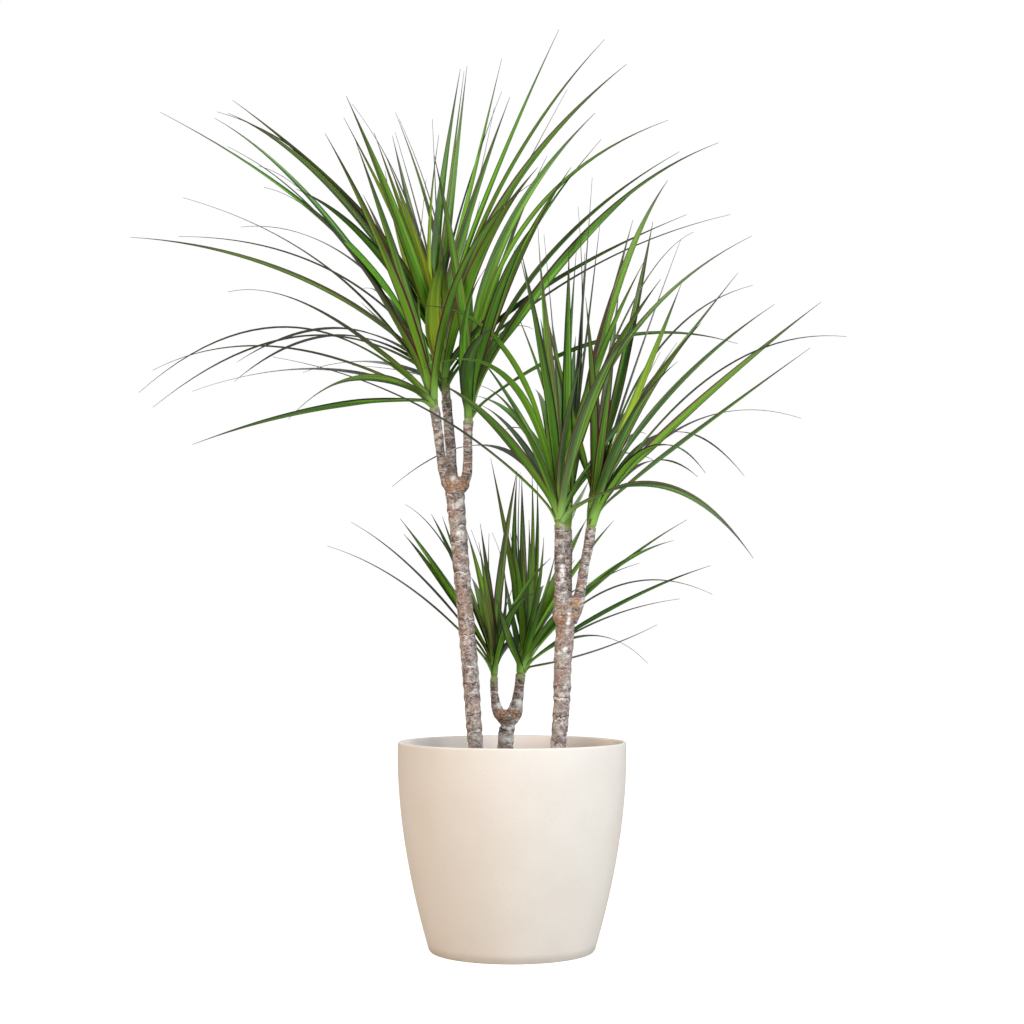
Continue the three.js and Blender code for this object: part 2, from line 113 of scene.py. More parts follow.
def objectPlace(upward=1):
    # the place on the object, with heights stretched by a share
    place = addNode("TexCoord").outputs["Object"]
    return addNode("Mapping", {"Vector": place, "Scale": (1, 1, upward)}).outputs["Vector"]


def readAttribute(name):
    return addNode("Attribute", attribute_name=name).outputs["Fac"]


def readMap():
    place = addNode("UVMap", uv_map="bladeMap").outputs[0]
    return addNode("SeparateXYZ", {0: place}).outputs


def dress(sockets, relief=None, depth=0.0, strength=1.0):
    # fills the shader's sockets and lays a bump on it
    shader = tree.nodes["Principled BSDF"]
    fillSockets(shader, sockets)
    if relief is not None:
        bump = addNode("Bump", {"Height": relief, "Distance": depth, "Strength": strength})
        fillSockets(shader, {"Normal": bump.outputs[0]})


print("stage 1: camera, floor and light")

studio = {
    "cameraPlace": (0, -2468, 417.5),
    "cameraPitch": 3.613,  # degrees above level
    "lens": 65.6,
    "sensor": 36,
    "floorRadius": 9000,
    "floorPaint": (0.50, 0.45, 0.40),
    "floorGlow": 1.0,  # light through the paper floor, so that it is as white as the backdrop
    "backdrop": (1, 1, 1),
    "ambient": 0.28,
    "ambientTint": (1, 0.985, 0.965),
    # each light: its place, the height that it faces, its size, power and tint
    "lights": {
        "keySoftbox": ((1980, -1850, 1350), 500, 1900, 62, (0.96, 0.98, 1)),
        "fillSoftbox": ((-2300, -1600, 1000), 400, 1500, 40, (1, 0.775, 0.60)),
        "topSoftbox": ((300, -1000, 2800), 500, 1700, 33, (1, 1, 1)),
        "backSoftbox": ((-900, 2300, 1700), 700, 1500, 12, (1, 1, 1)),
    },
}


def makeCamera():
    deselectAll()
    bpy.ops.object.camera_add(
        location=[mm * place for place in studio["cameraPlace"]],
        rotation=(math.radians(90 + studio["cameraPitch"]), 0, 0),
    )
    camera = bpy.context.object
    camera.name = "photoCamera"
    camera.data.lens = studio["lens"]
    camera.data.sensor_width = studio["sensor"]
    bpy.context.scene.camera = camera


def addSoftbox(name, place, facing, size, power, tint):
    deselectAll()
    bpy.ops.object.light_add(type="AREA", location=[mm * coordinate for coordinate in place])
    light = bpy.context.object
    light.name = name
    light.data.shape = "SQUARE"
    light.data.size = mm * size
    light.data.energy = power
    light.data.color = tint
    away = Vector(place) - Vector((0, 0, facing))
    light.rotation_euler = away.to_track_quat("Z", "Y").to_euler()


def makeWorld():
    # the lit backdrop is white to the eye and gives the plant a softer, dimmer light
    bpy.context.scene.world = useNodes(bpy.data.worlds.new("studioWorld"))
    tree.nodes.clear()
    seen = addNode("Background", {"Color": (*studio["backdrop"], 1), "Strength": 1})
    lit = addNode("Background", {"Color": (*studio["ambientTint"], 1), "Strength": studio["ambient"]})
    rays = addNode("LightPath").outputs["Is Camera Ray"]
    mixed = addNode("MixShader", {0: rays, 1: lit.outputs[0], 2: seen.outputs[0]})
    addNode("OutputWorld", {"Surface": mixed.outputs[0]})


def makeFloor():
    deselectAll()
    bpy.ops.mesh.primitive_circle_add(vertices=96, radius=mm * studio["floorRadius"], fill_type="NGON")
    floor = bpy.context.object
    floor.name = "studioFloor"
    paint = useNodes(bpy.data.materials.new("floorPaint"))
    dress({
        "Base Color": (*studio["floorPaint"], 1),
        "Roughness": 0.9,
        "Specular IOR Level": 0.1,
        "Emission Color": (1, 1, 1, 1),
        "Emission Strength": times(addNode("LightPath").outputs["Is Camera Ray"], studio["floorGlow"]),
    })
    floor.data.materials.append(paint)


makeCamera()
for name, light in studio["lights"].items():
    addSoftbox(name, *light)
makeWorld()
makeFloor()
bpy.context.scene.view_settings.view_transform = "Standard"

print("stage 2: finishes")

potFinish = {
    "cream": (0.780, 0.758, 0.718),
    "cloud": (0.800, 0.782, 0.745),
    "fleck": (0.50, 0.40, 0.31),
    "inside": (0.97, 0.91, 0.86),  # painted light: a paler colour for the inner wall, which brightens the shade that falls inside the pot
}


def makePotClay():
    material = useNodes(bpy.data.materials.new("potClay"))
    place = objectPlace()
    specks = addNode("TexVoronoi", {"Vector": place, "Scale": 420, "Randomness": 1}).outputs["Distance"]
    rare = step(grain(place, 210, 1), 0.52, 0.62)
    dress({
        "Base Color": layCoats(potFinish, "cream", [
            (step(grain(place, 16, 3), 0.35, 0.65), "cloud"),
            (times(step(specks, 0.28, 0.12), rare, 0.34), "fleck"),
            # painted light: the inner wall takes the paler colour, to brighten its shade
            (readAttribute("inside"), "inside"),
        ]),
        "Roughness": step(grain(place, 60, 3), 0.3, 0.7, 0.46, 0.6),
        "Specular IOR Level": 0.42,
    }, grain(place, 700, 3, 0.6), 0.00025, 0.5)
    return material


soilFinish = {
    "dark": (0.016, 0.010, 0.007),
    "brown": (0.060, 0.036, 0.022),
    "straw": (0.17, 0.115, 0.066),
}


def makeSoilCrumb():
    material = useNodes(bpy.data.materials.new("soilCrumb"))
    place = objectPlace()
    dress({
        "Base Color": layCoats(soilFinish, "dark", [
            (step(grain(place, 120, 4, 0.65), 0.35, 0.68), "brown"),
            (step(grain(place, 330, 2, 0.6, 1.5), 0.62, 0.72, 0, 0.6), "straw"),
            (readAttribute("chip"), "straw"),
        ]),
        "Roughness": 0.95,
        "Specular IOR Level": 0.15,
    }, grain(place, 900, 4, 0.7), 0.0012, 0.9)
    return material


barkFinish = {
    "brown": (0.170, 0.118, 0.112),
    "grey": (0.355, 0.325, 0.312),
    "pale": (0.75, 0.72, 0.70),
    "warm": (0.37, 0.235, 0.190),
    "moss": (0.40, 0.41, 0.365),
    "line": (0.70, 0.56, 0.47),
    "groove": (0.070, 0.040, 0.042),
    "knob": (0.33, 0.205, 0.145),
    "knobPale": (0.62, 0.49, 0.39),
    "rust": (0.68, 0.35, 0.17),
    "white": (0.92, 0.92, 0.91),
    "fresh": (0.36, 0.46, 0.17),
    "linePitch": 17,  # millimetres between crossing lines, along the cane
    "lineTurns": 3,
    "wrinklePitch": 2.3,  # millimetres between the fine rings of a branch
    "scarPitch": 12,  # and between its pale leaf scars
    "creasePitch": 21,  # and between the creases of a trunk, darkened partly as the bark's own dark lines and partly as painted shade
}


def crossLines(parts, jitter):
    # thin lines that climb round the cane both ways and cross, where leaves once clasped it
    turn = times(compute("ARCTAN2", parts[1], parts[0]), barkFinish["lineTurns"] / (2 * math.pi))
    level = compute("MULTIPLY_ADD", parts[2], 1 / barkFinish["linePitch"], jitter)
    both = [compute("PINGPONG", compute(way, level, turn), 0.5) for way in ("ADD", "SUBTRACT")]
    return compute("MAXIMUM", *(step(offLine, 0.05, 0.015) for offLine in both))


def rings(along, pitchName, jitter, outer, inner):
    # rings round the cane, as wide as the two limits say in shares of the pitch
    level = compute("MULTIPLY_ADD", along, 1 / barkFinish[pitchName], jitter)
    return step(compute("PINGPONG", level, 0.5), outer, inner)


def makeBark():
    material = useNodes(bpy.data.materials.new("bark"))
    even, squat, tall = (objectPlace(upward) for upward in (1, 1.4, 0.5))
    names = ("scar", "knob", "fresh", "thin", "white", "rust")
    scar, knob, fresh, thin, white, rust = (readAttribute(name) for name in names)
    wrap = addNode("Attribute", attribute_name="wrap").outputs["Vector"]
    parts = addNode("SeparateXYZ", {0: wrap}).outputs
    mottle = grain(squat, 95, 5, 0.65, 0.5)
    speckle = grain(squat, 430, 2, 0.6)
    jitter = times(grain(even, 40, 3), 0.8)
    bent = times(grain(even, 34, 4, 0.6), 1.5)
    shift = times(grain(even, 60, 3), 1.6)
    # what repeats along the cane, each broken up by a grain
    broken = step(grain(even, 45, 2), 0.44, 0.56)
    line = times(crossLines(parts, jitter), broken, compute("SUBTRACT", 1.2, thin))
    # creases round a trunk: cut into the relief and painted dark, partly as the bark's own dark line and
    # partly as painted shade on the crease's shadow side
    crease = rings(parts[2], "creasePitch", bent, 0.06, 0.02)
    crease = times(crease, step(grain(even, 70, 2), 0.42, 0.54))
    crescent = rings(parts[2], "creasePitch", compute("ADD", bent, 0.09), 0.06, 0.02)
    crescent = times(crescent, step(grain(even, 62, 2), 0.50, 0.60, 0, 0.8))
    wrinkle = rings(parts[2], "wrinklePitch", shift, 0.22, 0.06)
    wrinkle = times(wrinkle, step(grain(even, 110, 2), 0.40, 0.56), thin)
    paleScar = times(rings(parts[2], "scarPitch", jitter, 0.075, 0.035), broken, thin)
    # what sits in patches
    flake = times(step(grain(squat, 150, 3, 0.6), 0.56, 0.66), compute("MULTIPLY_ADD", thin, 0.5, 0.35))
    knobTint = layCoats(barkFinish, "knob", [(step(grain(squat, 130, 4, 0.6), 0.40, 0.66), "knobPale")])
    cracks = addNode("TexVoronoi", {"Vector": squat, "Scale": 170, "Randomness": 1},
                     feature="DISTANCE_TO_EDGE").outputs[0]
    cracks = times(step(cracks, 0.13, 0.02), compute("MAXIMUM", knob, rust))
    relief = compute("MULTIPLY_ADD", line, 0.5, grain(squat, 190, 4, 0.65))
    for cut in (times(scar, 0.5), times(wrinkle, 0.6), crease, cracks):
        relief = compute("SUBTRACT", relief, cut)
    dress({
        "Base Color": layCoats(barkFinish, "brown", [
            (step(mottle, 0.40, 0.55), "grey"),
            (step(mottle, 0.50, 0.66), "pale"),
            (step(grain(even, 26, 3, 0.55), 0.50, 0.62, 0, 0.6), "moss"),
            (step(grain(tall, 42, 4, 0.62, 0.4), 0.50, 0.64, 0, 0.75), "warm"),
            (step(grain(even, 125, 3, 0.6), 0.60, 0.70, 0, 0.85), "groove"),
            (times(line, 0.95), "line"),
            (step(speckle, 0.46, 0.33, 0, 0.5), "groove"),
            (step(speckle, 0.56, 0.68, 0, 0.5), "pale"),
            # the creases darken, partly as painted shade
            (times(crease, 0.8), "groove"),
            (crescent, "white"),
            (times(scar, step(grain(squat, 130, 3), 0.38, 0.62, 0.1, 0.9)), "groove"),
            (times(wrinkle, 0.6), "groove"),
            (times(paleScar, 0.9), "line"),
            (flake, "pale"),
            (times(knob, 0.8), knobTint),
            (times(rust, step(grain(squat, 140, 3, 0.6), 0.34, 0.60, 0.25, 0.95)), "rust"),
            (times(cracks, 0.75), "groove"),
            (times(knob, step(speckle, 0.56, 0.66, 0, 0.8)), "knobPale"),
            (fresh, "fresh"),
            # white patches: the canes' own whitish marks, and on the right cane's first branch also a
            # painted highlight
            (times(white, step(grain(squat, 170, 4, 0.7), 0.34, 0.48, 0, 0.95)), "white"),
        ]),
        "Roughness": 0.66,
        "Specular IOR Level": 0.38,
    }, relief, 0.0008, 0.7)
    return material


leafFinish = {
    "lime": (0.74, 0.92, 0.07),
    "young": (0.22, 0.47, 0.008),
    "bright": (0.165, 0.470, 0.016),
    "grown": (0.088, 0.300, 0.020),
    "deep": (0.030, 0.115, 0.022),
    "cool": (0.050, 0.140, 0.090),
    "far": (0.085, 0.175, 0.090),  # the outer half of a blade
    "slim": (0.070, 0.078, 0.072),  # blades seen by their edge
    # the colour of old leaves, also used as painted shade on a blade's darker half
    "oldAndPaintedShade": (0.013, 0.044, 0.012),
    # the underside's colour, laid most in a middle band that is partly painted sheen
    "under": (0.130, 0.330, 0.030),
    # pale streaks, also used as a painted highlight on a blade's lit half
    "paleStreakAndHighlight": (0.25, 0.57, 0.050),
    "margin": (0.085, 0.027, 0.034),
    "darkMargin": (0.012, 0.026, 0.012),
    "seam": (0.34, 0.17, 0.06),  # thin line inside the margin
    "foot": (0.32, 0.62, 0.13),
    "tip": (0.050, 0.038, 0.045),
}


def stretched(parts, scales):
    scaled = [times(part, scale) for part, scale in zip(parts, scales)]
    return addNode("CombineXYZ", dict(enumerate(scaled))).outputs[0]


def makeLeafSkin():
    material = useNodes(bpy.data.materials.new("leafSkin"))
    across, along, _ = readMap()
    names = ("tone", "seed", "under", "lime", "slim")
    tone, seed, under, limeShare, slim = (readAttribute(name) for name in names)
    flip, edging, reddish = (compute("FRACT", times(seed, spread)) for spread in (7.3, 13.7, 29.1))
    lengthwise = stretched((across, along, seed), (4, 2.2, 40))
    bands = grain(lengthwise, 1, 2)
    fibres = grain(stretched((across, along, seed), (26, 2, 90)), 1, 2)
    signed = compute("MULTIPLY_ADD", across, 2, -1)
    offCentre = compute("ABSOLUTE", signed)
    lime = times(limeShare, step(along, 1.0, 0.35))
    green = compute("SUBTRACT", 1, lime)
    # painted light: one half of the blade is painted lighter, as a painted highlight, and the other darker,
    # as painted shade, the way light falls on the two sides of its channel; both are also banded lengthwise
    turned = times(signed, step(flip, 0.45, 0.55, -1, 1))
    paintedShadeAndBands = compute("MULTIPLY_ADD", turned, 0.14, bands)
    top = layCoats(leafFinish, "bright", [
        # a colour for each leaf, darker with age
        (step(seed, 0.14, 0.32), "grown"),
        (step(seed, 0.46, 0.60), "deep"),
        (step(seed, 0.72, 0.78), "cool"),
        (step(tone, 0.34, 0.06), "young"),
        (step(tone, 0.45, 1.0, 0, 0.5), "oldAndPaintedShade"),
        # yellower towards the foot, most of all on young leaves, and greyer further out
        (times(step(along, 0.42, 0.04), step(tone, 0.8, 0.1, 0.15, 0.75)), "young"),
        (times(step(along, 0.3, 0.8, 0, 0.42), green), "far"),
        (lime, "lime"),
        # painted highlight on the lit half of the blade, then painted shade on its darker half
        (step(paintedShadeAndBands, 0.53, 0.70, 0, 0.75), "paleStreakAndHighlight"),
        (times(step(paintedShadeAndBands, 0.48, 0.32, 0, 0.75), green), "oldAndPaintedShade"),
        (step(fibres, 0.38, 0.52, 0.3, 0), "oldAndPaintedShade"),
        (step(fibres, 0.54, 0.66, 0, 0.35), "paleStreakAndHighlight"),
    ])
    # the underside is paler and greener, most of all in a middle band, which is partly the leaf's own tone
    # and partly painted sheen
    below = layCoats(leafFinish, top, [(step(offCentre, 0.45, 0.1, 0.05, 0.35), "under")])
    # the margin is ragged and of another breadth on each leaf
    ragged = compute("MULTIPLY_ADD", grain(lengthwise, 1.7, 3), 0.3, -0.15)
    offEdge = compute("MULTIPLY_ADD", step(edging, 0.6, 1.0), 0.10, compute("ADD", offCentre, ragged))
    seam = times(step(offEdge, 0.56, 0.68), step(offEdge, 0.86, 0.76), step(reddish, 0.45, 0.75, 0, 0.55))
    dark = times(step(tone, 0.0, 0.3, 0.5, 1), step(edging, 0.1, 0.7, 0.4, 1),
                 compute("MULTIPLY_ADD", limeShare, -0.6, 1))
    margin = layCoats(leafFinish, "darkMargin", [(step(reddish, 0.15, 0.45), "margin")])
    foot = times(step(along, 0.19, 0.02, 0, 0.65), step(offEdge, 0.9, 0.6, 0.3, 1))
    limeFoot = times(limeShare, step(along, 0.3, 0.02, 0, 0.8))
    dress({
        "Base Color": layCoats(leafFinish, blend(under, top, below), [
            (seam, "seam"),
            (times(step(offEdge, 0.68, 0.80), dark), margin),
            (times(slim, step(along, 0.2, 0.5, 0, 0.85)), "slim"),
            (compute("MAXIMUM", foot, limeFoot), "foot"),
            (step(along, 0.76, 0.98, 0, 0.8), "tip"),
        ]),
        "Specular IOR Level": step(seed, 0.5, 0.85, 0.28, 0.6),
        "Roughness": step(fibres, 0.3, 0.7, 0.38, 0.54),
    }, compute("ADD", fibres, bands), 0.0003, 0.6)
    return material


neckFinish = {
    "bark": (0.30, 0.205, 0.170),
    "green": (0.17, 0.36, 0.04),
    "pale": (0.46, 0.56, 0.24),
    "ring": (0.19, 0.12, 0.08),
    "barkTop": -3,  # millimetres above the branch
    "greenFrom": 8,
}


def makeNeckSkin():
    material = useNodes(bpy.data.materials.new("neckSkin"))
    height = readMap()[1]
    place = objectPlace()
    wavy = compute("ADD", height, compute("MULTIPLY_ADD", grain(place, 90, 3), 8, -4))
    wave = compute("SINE", times(height, 2.2))
    scaly = blend(step(grain(place, 170, 4, 0.65), 0.42, 0.62), neckFinish["bark"], barkFinish["pale"])
    dress({
        "Base Color": layCoats(neckFinish, "pale", [
            (step(height, neckFinish["barkTop"], neckFinish["greenFrom"]), "green"),
            (times(step(wave, 0.5, 1.0, 0, 0.7), step(height, 18, 4)), "ring"),
            (step(wavy, neckFinish["barkTop"] + 1, neckFinish["barkTop"] - 1), scaly),
        ]),
        "Roughness": 0.55,
        "Specular IOR Level": 0.3,
    }, wave, 0.0004, 0.6)
    return material


potClay = makePotClay()
soilCrumb = makeSoilCrumb()
bark = makeBark()
leafSkin = makeLeafSkin()
neckSkin = makeNeckSkin()

print("stage 3: pot and soil")


def pick(piece):
    deselectAll()
    piece.select_set(True)
    bpy.context.view_layer.objects.active = piece


def settle(piece):
    # puts the place into the mesh, so that the object itself sits at the origin
    pick(piece)
    bpy.ops.object.transform_apply(location=True, rotation=True, scale=True)


def applyModifier(piece, kind, **settings):
    pick(piece)
    modifier = piece.modifiers.new(kind.lower(), kind)
    for setting, value in settings.items():
        setattr(modifier, setting, value)
    bpy.ops.object.modifier_apply(modifier=modifier.name)


def joinPieces(pieces):
    pick(pieces[0])
    for piece in pieces:
        piece.select_set(True)
    bpy.ops.object.join()
    return pieces[0]


def faceOutwards(piece):
    pick(piece)
    bpy.ops.object.mode_set(mode="EDIT")
    bpy.ops.mesh.select_all(action="SELECT")
    bpy.ops.mesh.normals_make_consistent(inside=False)
    bpy.ops.object.mode_set(mode="OBJECT")


def copyOf(piece):
    twin = piece.copy()
    twin.data = piece.data.copy()
    bpy.context.scene.collection.objects.link(twin)
    return twin


def giveFinish(piece, material):
    piece.data.materials.clear()
    piece.data.materials.append(material)


def standFor(piece, name, node, smoothDegrees):
    # the finished piece takes the place of a CAD node
    piece.name = piece.data.name = name
    pick(piece)
    bpy.ops.object.shade_smooth_by_angle(angle=math.radians(smoothDegrees))
    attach(piece, "root")
    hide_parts(node)


def storeValues(piece, **values):
    # one number for the whole piece, or one for each of its vertices
    for name, value in values.items():
        attribute = piece.data.attributes.new(name, "FLOAT", "POINT")
        spread = np.broadcast_to(value, len(piece.data.vertices))
        attribute.data.foreach_set("value", np.ascontiguousarray(spread, np.float32))


def meshPlaces(piece, what="co"):
    # the place of each vertex, or another of its vectors
    places = np.empty(len(piece.data.vertices) * 3, np.float32)
    piece.data.vertices.foreach_get(what, places)
    return places.reshape(-1, 3)


def moveVertices(piece, places):
    piece.data.vertices.foreach_set("co", np.asarray(places, np.float32).ravel())
    piece.data.update()


def nearTree(points):
    # finds which of the points lie nearest to a place
    nearby = kdtree.KDTree(len(points))
    for at, point in enumerate(points):
        nearby.insert(point, at)
    nearby.balance()
    return nearby


def seededDraws(seed):
    state = seed
    while True:
        state = state * 16807 % 2147483647
        yield state / 2147483647


pot = {
    "height": 271,
    "rimRadius": 150,
    "footRadius": 108,
    "footChamfer": 3,
    "wall": 5,
    "floor": 8,
    "floorRound": 8,  # rounding between the inner wall and the floor
    "bellyHeight": 250,  # the wall swells up to here and is upright above it
    "bellyPower": 1.8,
    "lip": 2.4,  # rounding of the rim
    "sides": 160,
    "rings": 26,
    "middle": 2,  # radius of the small disc in the middle of the foot and floor
}
gap = 0.3  # between the soil and what it touches


def potRadius(height):
    below = max(0, 1 - height / pot["bellyHeight"])
    return pot["rimRadius"] - (pot["rimRadius"] - pot["footRadius"]) * below ** pot["bellyPower"]


def arcPoints(centreRadius, centreHeight, size, fromDegrees, toDegrees, steps):
    turns = [math.radians(fromDegrees + (toDegrees - fromDegrees) * at / steps) for at in range(steps + 1)]
    return [(centreRadius + size * math.cos(turn), centreHeight + size * math.sin(turn)) for turn in turns]


def ringUp(profile, sides):
    # starts with a filled circle and draws it out ring by ring along [radius, height] pairs
    deselectAll()
    (radius, height), *rest = profile
    bpy.ops.mesh.primitive_circle_add(
        vertices=sides, radius=mm * radius, fill_type="NGON", location=(0, 0, mm * height),
    )
    piece = bpy.context.object
    settle(piece)
    bpy.ops.object.mode_set(mode="EDIT")
    bpy.ops.mesh.select_all(action="SELECT")
    for nextRadius, nextHeight in rest:
        bpy.ops.mesh.extrude_region_move(
            TRANSFORM_OT_translate={"value": (0, 0, mm * (nextHeight - height))},
        )
        share = nextRadius / radius
        bpy.ops.transform.resize(value=(share, share, 1), center_override=(0, 0, 0))
        radius, height = nextRadius, nextHeight
    bpy.ops.object.mode_set(mode="OBJECT")
    faceOutwards(piece)
    return piece


def makePot():
    chamfer, wall, lip, floor = (pot[name] for name in ("footChamfer", "wall", "lip", "floor"))
    inset, foot, floorRound = pot["footRadius"] - chamfer, pot["footRadius"], pot["floorRound"]
    floorTop = floor + floorRound
    lipHeight = pot["height"] - lip
    heights = [chamfer + (lipHeight - chamfer) * at / pot["rings"] for at in range(pot["rings"] + 1)]
    profile = [(pot["middle"], 0), (foot / 2, 0), (inset - 1, 0)]
    profile += arcPoints(inset, chamfer, chamfer, -80, -10, 4)
    profile += [(potRadius(height), height) for height in heights]
    profile += arcPoints(pot["rimRadius"] - lip, lipHeight, lip, 12, 168, 8)
    profile += [(potRadius(height) - wall, height) for height in reversed(heights) if height > floorTop]
    profile += arcPoints(potRadius(20) - wall - floorRound, floorTop, floorRound, 0, -80, 4)
    profile += [(60, floor), (pot["middle"], floor)]
    piece = ringUp(profile, pot["sides"])
    places = meshPlaces(piece) / mm
    outer = np.array([potRadius(height) for height in places[:, 2]])
    # the inner wall, which is painted paler as painted light
    inside = (np.hypot(places[:, 0], places[:, 1]) < outer - wall + 1) & (places[:, 2] > floor - 1)
    storeValues(piece, inside=inside)
    giveFinish(piece, potClay)
    standFor(piece, "creamPot", "pot", 50)


soil = {
    "level": 230,
    "wallHeights": (40, 90, 160, 200),
    "mound": 8,
    "moundRadius": 112,
    "lumps": [(17, 2.4), (6, 1.6)],  # size of the lumps and how far they rise
    "cell": (5, -2.2),  # size of the crumbly cells and how far their edges sink
    "fading": 6,  # breadth of the strip at the wall in which the relief fades out
    "sides": 168,
    "topRings": 58,
    "crumbs": 520,
    "crumbShape": (1, 0.8, 0.7),
    "chips": 90,
    "chipShape": (2.6, 1.1, 0.5),
    "chipBevel": 0.35,
    "straw": (0.25, 0.9),  # how straw-coloured a crumb or a chip may be
    "leastSize": 1.2,
    "sizeSpread": 2.2,
    "rising": 0.2,  # share of its size by which a crumb stands up
    "turns": (0.7, 0.7, 6.28),  # how far it may be turned, in radians
    "offWall": 6,
    "seed": 4801,
}

# Each run is a line of stations (x, y, z, radius), each knob a swelling (x, y, z, rx, ry, rz) and
# each white or rusty patch a spot (x, y, z, reach).
caneFoot = 112
canes = {
    "caneTall": {
        "runs": [
            [(-35, 10, caneFoot, 10), (-48, 10, 262, 10.3), (-56, 10, 372, 11.1), (-64, 10, 464, 10.7),
             (-72, 10, 555, 11.5), (-76, 10, 598, 12.6), (-77, 10, 613, 12.4)],
            [(-79, 8, 603, 8), (-90, 2, 622, 6), (-94, -3, 647, 5.8), (-98, -6, 680, 6.2),
             (-103, -8, 711, 6.5)],
            [(-78, 14, 607, 8.6), (-81, 17, 632, 7.3), (-82, 19, 659, 6.9), (-85, 21, 692, 6.5),
             (-88, 22, 726, 6.5)],
            [(-73, 8, 600, 8), (-63, 6, 614, 7), (-59, 4, 636, 6), (-59, 3, 669, 5.8), (-58, 2, 695, 6.4)],
        ],
        "knobs": [(-82, 9, 614, 12, 12, 14.5), (-68, 7, 610, 11.3, 11, 11)],
        "whitePatches": [(-74, -1, 582, 5), (-70, -1, 584, 5), (-66, 0, 588, 5), (-77, -3, 618, 5),
                         (-68, -1, 545, 5), (-60, 0, 500, 4)],
        "rustPatches": [(-80, -3, 607, 8), (-64, -2, 611, 6)],
    },
    "caneRight": {
        "runs": [
            [(53, -35, caneFoot, 10), (60, -35, 265, 10.2), (64, -35, 314, 10.9), (66, -35, 373, 11.7),
             (69, -35, 419, 12.2), (69, -36, 440, 12)],
            [(66, -38, 432, 10), (64, -41, 460, 9.4), (63, -44, 484, 7.6), (62, -46, 523, 6.7),
             (62, -48, 554, 6.6)],
            [(71, -30, 436, 8), (72, -22, 468, 6.4), (73, -15, 510, 5.8), (73, -11, 550, 6)],
            [(75, -35, 430, 10), (84, -35, 446, 8.4), (89, -35, 469, 6.7), (94, -35, 499, 6.1),
             (101, -34, 534, 6.7), (103, -34, 551, 6.6)],
        ],
        "knobs": [(65, -38, 438, 12.5, 12.5, 18), (80, -36, 449, 9, 9.5, 13)],
        # the four patches at x 66 down the front of the first branch paint its pale colour and, with it, a
        # painted highlight along the branch
        "whitePatches": [(73, -46, 438, 3), (74, -46, 434, 3), (74, -46, 430, 3), (73, -47, 426, 3),
                         (70, -47, 392, 4), (66, -51, 500, 4), (66, -52, 494, 4), (66, -53, 488, 4),
                         (66, -53, 482, 4)],
        "rustPatches": [(61, -47, 429, 8), (59, -47, 412, 6), (83, -43, 453, 6), (80, -45, 434, 4)],
    },
    "caneShort": {
        "runs": [
            [(-10, 50, caneFoot, 10.4), (-9, 50, 259, 10.8), (-7, 50, 287, 10.8)],
            [(-7, 50, 280, 9.4), (-6, 50, 298, 9)],
            [(-6, 50, 290, 8), (-19, 49, 309, 7.4), (-23, 48, 326, 5.2), (-24, 47, 340, 4.9),
             (-24, 46, 354, 5)],
            [(-6, 50, 292, 9), (3, 51, 306, 10.6), (7, 54, 322, 7.4), (10, 56, 342, 6.4),
             (12, 57, 358, 6.6)],
        ],
        "knobs": [(-8, 50, 301, 13, 12, 9)],
        "whitePatches": [(1, 46, 273, 6), (-2, 42, 272, 6), (-7, 39, 272, 6), (-13, 41, 273, 6),
                         (-3, 39, 285, 4), (3, 46, 292, 7), (7, 46, 296, 5), (10, 45, 320, 6),
                         (-17, 42, 316, 5)],
        "rustPatches": [(-16, 41, 305, 8), (5, 42, 306, 7)],
    },
}


def drawStem(stations, extra=0.0, resolution=6, roundness=6):
    # a filled tube along a smooth line, with its own radius at each station
    deselectAll()
    bpy.ops.curve.primitive_bezier_curve_add()
    path = bpy.context.object
    path.data.dimensions = "3D"
    path.data.resolution_u = resolution
    path.data.bevel_depth = mm
    path.data.bevel_resolution = roundness
    path.data.use_fill_caps = True
    knots = path.data.splines[0].bezier_points
    knots.add(len(stations) - len(knots))
    for knot, (x, y, z, radius) in zip(knots, stations):
        knot.co = (mm * x, mm * y, mm * z)
        knot.handle_left_type = knot.handle_right_type = "AUTO"
        knot.radius = radius + extra
    bpy.ops.object.convert(target="MESH")
    return bpy.context.object


def scatterCrumbs(surface):
    # crumbs and bark chips, each a copy of one small lump, half sunk in the surface
    draws = seededDraws(soil["seed"])
    places = meshPlaces(surface) / mm
    top = places[places[:, 2] > soil["level"] - 4]
    ground = nearTree(top * (1, 1, 0))
    deselectAll()
    bpy.ops.mesh.primitive_ico_sphere_add(subdivisions=1, radius=mm)
    crumb = bpy.context.object
    bpy.ops.mesh.primitive_cube_add(size=2 * mm)
    chip = bpy.context.object
    applyModifier(chip, "BEVEL", width=soil["chipBevel"] * mm, segments=1)
    bits = []
    for order in range(soil["crumbs"] + soil["chips"]):
        isChip = order >= soil["crumbs"]
        reach = (pot["rimRadius"] - pot["wall"] - soil["offWall"]) * math.sqrt(next(draws))
        turn = 2 * math.pi * next(draws)
        x, y = reach * math.cos(turn), reach * math.sin(turn)
        height = top[ground.find((x, y, 0))[1]][2]
        bit = copyOf(chip if isChip else crumb)
        size = soil["leastSize"] + soil["sizeSpread"] * next(draws) ** 2
        bit.location = (mm * x, mm * y, mm * (height + soil["rising"] * size))
        bit.rotation_euler = [most * next(draws) for most in soil["turns"]]
        bit.scale = [size * share for share in soil["chipShape" if isChip else "crumbShape"]]
        storeValues(bit, chip=soil["straw"][isChip] * next(draws))
        bits.append(bit)
    bpy.data.objects.remove(crumb)
    bpy.data.objects.remove(chip)
    return bits


